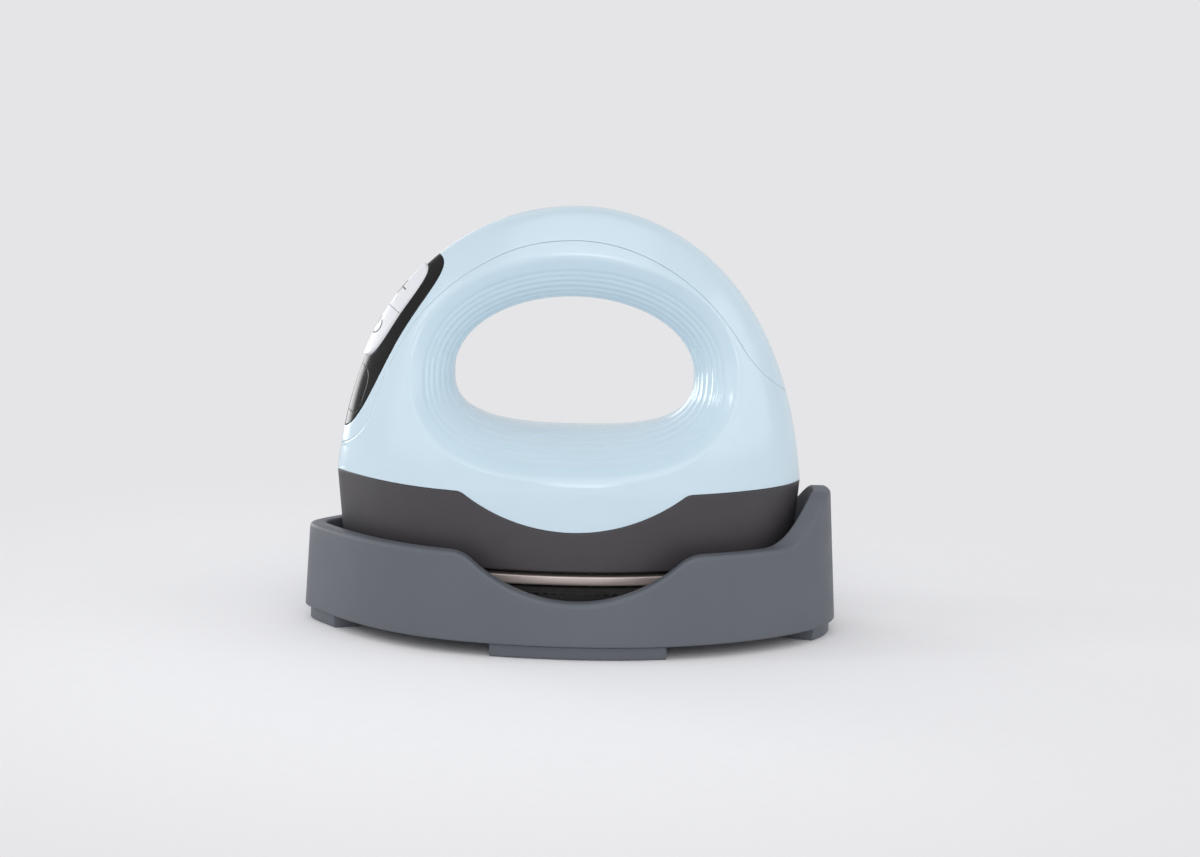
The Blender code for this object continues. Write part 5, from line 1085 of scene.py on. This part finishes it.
class AddButtons(bpy.types.Operator):
    """Add the two white caps with their printed signs"""

    bl_idname = "heat_press.add_buttons"
    bl_label = "Buttons"
    # A cap's wall, the gap round it, and the middle of its grid up the slope from the divide.
    cap_wall, cap_gap, cap_middle = 0.0014, 0.00006, 0.0065
    # The signs: the width of a stroke, its thickness, and how far to the side they are printed.
    stroke_width, ink, shift = 0.00034, 0.00004, 0.0005

    def execute(self, context):
        panel = context.scene.press_panel
        out = panel_axes(panel, context.scene.press_body)[3]
        for name, body, sign in (("plus_button", "plus_key", 1), ("power_button", "power_key", -1)):
            outline = self.cap_outline(panel, sign)
            centre = np.broadcast_to([panel.divide_u + sign * self.cap_middle, 0.0], outline.shape)
            cap = panel_surface(between(outline, centre, 26)) + out * panel.proud
            piece = wall_along(add_piece(name + "_look", [(cap, False, True)]), self.cap_wall, out, 0.00018, 4)
            settle(piece, body, "white_caps", name)
        self.add_signs(panel)
        return {"FINISHED"}

    @staticmethod
    def cap_outline(panel, sign):
        """One cap's outline: its part of the long oval, closed along the divide, evenly spaced."""
        gap = AddButtons.cap_gap
        oval = stretched_oval(around(4000), panel.caps_length / 2 - gap, panel.caps_width / 2 - gap, *CAPS_POWERS)
        oval[:, 0] += panel.caps_u
        limit = panel.divide_u + sign * gap
        keep = (oval[:, 0] - limit) * sign > 0
        shift = 2000 if sign > 0 else 0
        kept = np.roll(oval, shift, 0)[np.roll(keep, shift)]
        kept[0, 0] = kept[-1, 0] = limit
        across = np.linspace(kept[-1, 1], kept[0, 1], 400)[1:]
        kept = np.concatenate([kept, np.stack([np.full(399, limit), across], -1)])
        return even_points(kept, 241)[:-1]

    def stroke(self, path):
        """A ribbon along a flat path: its two edges and its middle, on the caps."""
        ahead = np.gradient(path, axis=0)
        ahead /= np.linalg.norm(ahead, axis=1, keepdims=True)
        beside = np.stack([-ahead[:, 1], ahead[:, 0]], -1)
        flat = np.stack([path + beside * self.stroke_width * s for s in (-0.5, 0.0, 0.5)])
        flat[..., 1] -= self.shift
        panel = bpy.context.scene.press_panel
        out = panel_axes(panel, bpy.context.scene.press_body)[3]
        return (panel_surface(flat, 0.00003) + out * panel.proud, False, False)

    def add_signs(self, panel):
        """A plus sign on one cap, and a broken ring with a bar, the usual power sign, on the other."""
        reach = panel.sign / 2
        step = np.linspace(-reach, reach, 17)
        turn = np.linspace(math.radians(35), math.radians(325), 64)
        radius = reach * 1.05
        plus = (np.stack([panel.plus_u + step, np.zeros(17)], -1), np.stack([np.full(17, panel.plus_u), step], -1))
        power = (np.stack([panel.power_u + radius * np.cos(turn), radius * np.sin(turn)], -1),
                 np.stack([panel.power_u + np.linspace(0.2, 1.15, 9) * radius, np.zeros(9)], -1))
        for name, body, paths in (("plus_sign", "plus_key", plus), ("power_sign", "power_key", power)):
            piece = add_piece(name, [self.stroke(path) for path in paths])
            settle(thicken(piece, self.ink), body, "white_caps", key="sign_ink")


class DressInnerParts(bpy.types.Operator):
    """Give the inlet, the screws and the parts inside the housing their finishes"""

    bl_idname = "heat_press.dress_inner_parts"
    bl_label = "Inner Parts"

    # The start of a node's name, or else a word in it, and its finish.
    finishes = {
        "inlet": "black_plastic", "plus_switch": "black_plastic", "power_switch": "black_plastic",
        "display_module": "black_plastic", "filter_capacitor": "black_plastic", "inlet_pin": "pin_metal",
        "plate_screw": "steel", "shell_screw": "steel", "clamp_plate": "steel", "thermal_fuse": "steel",
        "plus_plunger": "white_caps", "power_plunger": "white_caps", "plate_post": "post",
        "temperature_sensor": "bead", "mains_fuse": "fuse_tube", "heater_sheet": "mica", "control_board": "board",
        "mains_board": "board", "relay": "relay_case", "terminal_block": "terminal", "lead": "sleeve",
        "panel_cable": "cable",
    }

    def execute(self, context):
        for name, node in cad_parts.items():
            if node.hide_render:
                continue
            found = [key for key in self.finishes if name.startswith(key)] or \
                [key for key in self.finishes if key in name]
            if not found:
                raise RuntimeError("no finish is named for %s" % name)
            for place in node.material_slots:
                place.material = material(self.finishes[found[0]])
        return {"FINISHED"}


class AddStage(bpy.types.Operator):
    """Add the pale floor, the soft lamps, the surroundings and the camera"""

    bl_idname = "heat_press.add_stage"
    bl_label = "Stage"

    def execute(self, context):
        self.add_floor()
        self.add_lamps(context)
        self.add_surroundings(context)
        self.add_camera(context)
        context.scene.view_settings.view_transform = "Standard"
        return {"FINISHED"}

    @staticmethod
    def add_floor():
        """A wide sheet of paper that curves up behind: rows along Y, with a quarter arc at the back."""
        front, back, radius, top, half_width = -2.5, 2.0, 0.8, 3.0, 4.0
        turn = np.linspace(0, np.pi / 2, 24)[1:]
        y = np.concatenate([[front, back], back + radius * np.sin(turn), [back + radius]])
        z = np.concatenate([[0, 0], radius - radius * np.cos(turn), [top]])
        x = np.linspace(-half_width, half_width, 9)
        rows = np.stack([np.column_stack([x, np.full(9, a), np.full(9, b)]) for a, b in zip(y, z)])
        floor = add_piece("paper_sweep", [(rows, False, False)])
        floor.data.materials.append(AddStage.paper())
        floor.data.shade_smooth()

    @staticmethod
    def paper():
        """Matte studio paper. Far from the press the camera sees its plain tone, and near it the real light."""
        paper = bpy.data.materials.new("matte_studio_paper")
        paper.use_nodes = True
        tree = paper.node_tree
        shader = tree.nodes["Principled BSDF"]
        place = add_node(tree, "ShaderNodeTexCoord").outputs["Object"]
        fibre = grain(tree, place, FIBRE_PERIOD, 3.0, 0.985, 1.0)
        tone = add_node(tree, "ShaderNodeMix", data_type="RGBA", blend_type="MULTIPLY")
        tone.inputs["Factor"].default_value = 1.0
        tone.inputs["A"].default_value = (*bpy.context.scene.press_colours.floor, 1)
        tree.links.new(fibre, tone.inputs["B"])
        tree.links.new(tone.outputs["Result"], shader.inputs["Base Color"])
        shader.inputs["Roughness"].default_value = 0.9
        shader.inputs["Specular IOR Level"].default_value = 0.1
        glow = add_node(tree, "ShaderNodeEmission", Strength=1.0)
        glow.inputs["Color"].default_value = (*linear(STUDIO_TONE), 1)
        away = add_node(tree, "ShaderNodeVectorMath", {0: place}, operation="LENGTH")
        far = add_node(tree, "ShaderNodeMapRange", {"Value": away.outputs["Value"]}, From_Min=LIT_RADIUS,
                       From_Max=PLAIN_RADIUS, To_Min=0.0, To_Max=1.0)
        far.interpolation_type = "SMOOTHSTEP"
        ray = add_node(tree, "ShaderNodeLightPath")
        seen = add_node(tree, "ShaderNodeMath", {0: ray.outputs["Is Camera Ray"], 1: ray.outputs["Is Glossy Ray"]},
                        operation="ADD", use_clamp=True)
        seen = add_node(tree, "ShaderNodeMath", {0: seen.outputs[0], 1: ray.outputs["Is Transmission Ray"]},
                        operation="ADD", use_clamp=True)
        share = add_node(tree, "ShaderNodeMath", {0: seen.outputs[0], 1: far.outputs["Result"]},
                         operation="MULTIPLY")
        mix = add_node(tree, "ShaderNodeMixShader", {0: share.outputs[0], 1: shader.outputs[0],
                                                     2: glow.outputs[0]})
        tree.links.new(mix.outputs[0], tree.nodes["Material Output"].inputs["Surface"])
        return paper

    @staticmethod
    def add_lamps(context):
        """Soft boxes round the press: wide ones for light, and narrow ones for the gloss."""
        aim = Vector((0, 0, 0.05))
        for name, place, width, height, power in (
                ("left_box", (-1.05, -0.35, 0.50), 0.90, 0.90, 1.8),
                ("small_left_box", (-0.95, -0.15, 0.62), 0.08, 0.18, 0.6),
                ("front_low_box", (0.04, -0.90, 0.30), 0.30, 0.44, 1.4),
                ("right_box", (1.05, -0.32, 0.50), 1.00, 0.80, 2.6),
                ("back_left_box", (-0.80, 0.55, 0.12), 0.36, 0.50, 3.2),
                ("back_box", (-0.42, 0.88, 0.10), 0.50, 0.45, 0.8),
                ("front_box", (0.05, -0.80, 0.90), 1.2, 0.8, 2.6),
                ("top_box", (0.0, -0.05, 1.2), 1.2, 1.0, 1.9)):
            lamp = bpy.data.lights.new(name, "AREA")
            lamp.shape = "RECTANGLE"
            lamp.size, lamp.size_y, lamp.energy = width, height, power
            holder = bpy.data.objects.new(name, lamp)
            holder.location = place
            holder.visible_camera = False
            holder.rotation_euler = (aim - Vector(place)).to_track_quat("-Z", "Y").to_euler()
            context.scene.collection.objects.link(holder)

    @staticmethod
    def add_surroundings(context):
        """Even pale surroundings, as in a white studio."""
        world = bpy.data.worlds.new("white_studio")
        world.use_nodes = True
        tree = world.node_tree
        back = tree.nodes["Background"]
        back.inputs["Color"].default_value = (*linear(STUDIO_TONE), 1)
        ray = add_node(tree, "ShaderNodeLightPath")
        power = add_node(tree, "ShaderNodeMapRange", {"Value": ray.outputs["Is Camera Ray"]}, To_Min=0.56,
                         To_Max=1.0)
        tree.links.new(power.outputs["Result"], back.inputs["Strength"])
        context.scene.world = world

    @staticmethod
    def add_camera(context):
        """The photograph's view: from the front, nine degrees above level, two degrees to the right."""
        lens = bpy.data.cameras.new("front_view")
        lens.sensor_width, lens.lens, lens.clip_start, lens.clip_end = 36.0, 75.6, 0.01, 20.0
        tilt, turn, roll = math.radians(9), math.radians(2), math.radians(1)
        back = Vector((math.sin(turn) * math.cos(tilt), -math.cos(turn) * math.cos(tilt), math.sin(tilt)))
        right = Vector((math.cos(turn), math.sin(turn), 0))
        up = back.cross(right)
        side = math.cos(roll) * right + math.sin(roll) * up
        over = -math.sin(roll) * right + math.cos(roll) * up
        holder = bpy.data.objects.new("front_view", lens)
        holder.matrix_world = Matrix.Translation((0.027426, -0.592373, 0.141515)) @ \
            Matrix((side, over, back)).transposed().to_4x4()
        context.scene.collection.objects.link(holder)
        context.scene.camera = holder


class HeatPressPanel(bpy.types.Panel):
    """Sizes, colours and the steps that build the looks"""

    bl_idname = "VIEW3D_PT_heat_press"
    bl_label = "Mini Heat Press"
    bl_space_type = "VIEW_3D"
    bl_region_type = "UI"
    bl_category = "Heat Press"

    def draw(self, context):
        for operator in OPERATORS:
            self.layout.operator(operator.bl_idname)
        for name, _, label in SETTINGS:
            box = self.layout.box()
            box.label(text=label)
            settings = getattr(context.scene, name)
            for key in settings.__annotations__:
                box.prop(settings, key)


OPERATORS = (AddCradle, AddRestPad, AddHotPlate, AddSkirt, AddShells, AddSpineCover, AddPanel, AddButtons,
             DressInnerParts, AddStage)
# Each group of settings: its name in the scene, its class and its heading in the panel.
SETTINGS = (("press_body", PressBodySizes, "Press"), ("press_cradle", CradleSizes, "Cradle"),
            ("press_panel", PanelSizes, "Button panel"), ("press_colours", PressColours, "Colours"))


def register():
    """Add the classes and the settings to Blender."""
    for kind in (*(group[1] for group in SETTINGS), *OPERATORS, HeatPressPanel):
        bpy.utils.register_class(kind)
    for name, kind, _ in SETTINGS:
        setattr(bpy.types.Scene, name, PointerProperty(type=kind))


def unregister():
    """Take the classes and the settings out again."""
    for name, _, _ in SETTINGS:
        delattr(bpy.types.Scene, name)
    for kind in (HeatPressPanel, *reversed(OPERATORS), *(group[1] for group in reversed(SETTINGS))):
        bpy.utils.unregister_class(kind)


def main():
    """Build everything in order."""
    register()
    for operator in OPERATORS:
        group, step = operator.bl_idname.split(".")
        getattr(getattr(bpy.ops, group), step)()


if __name__ == "__main__":
    main()
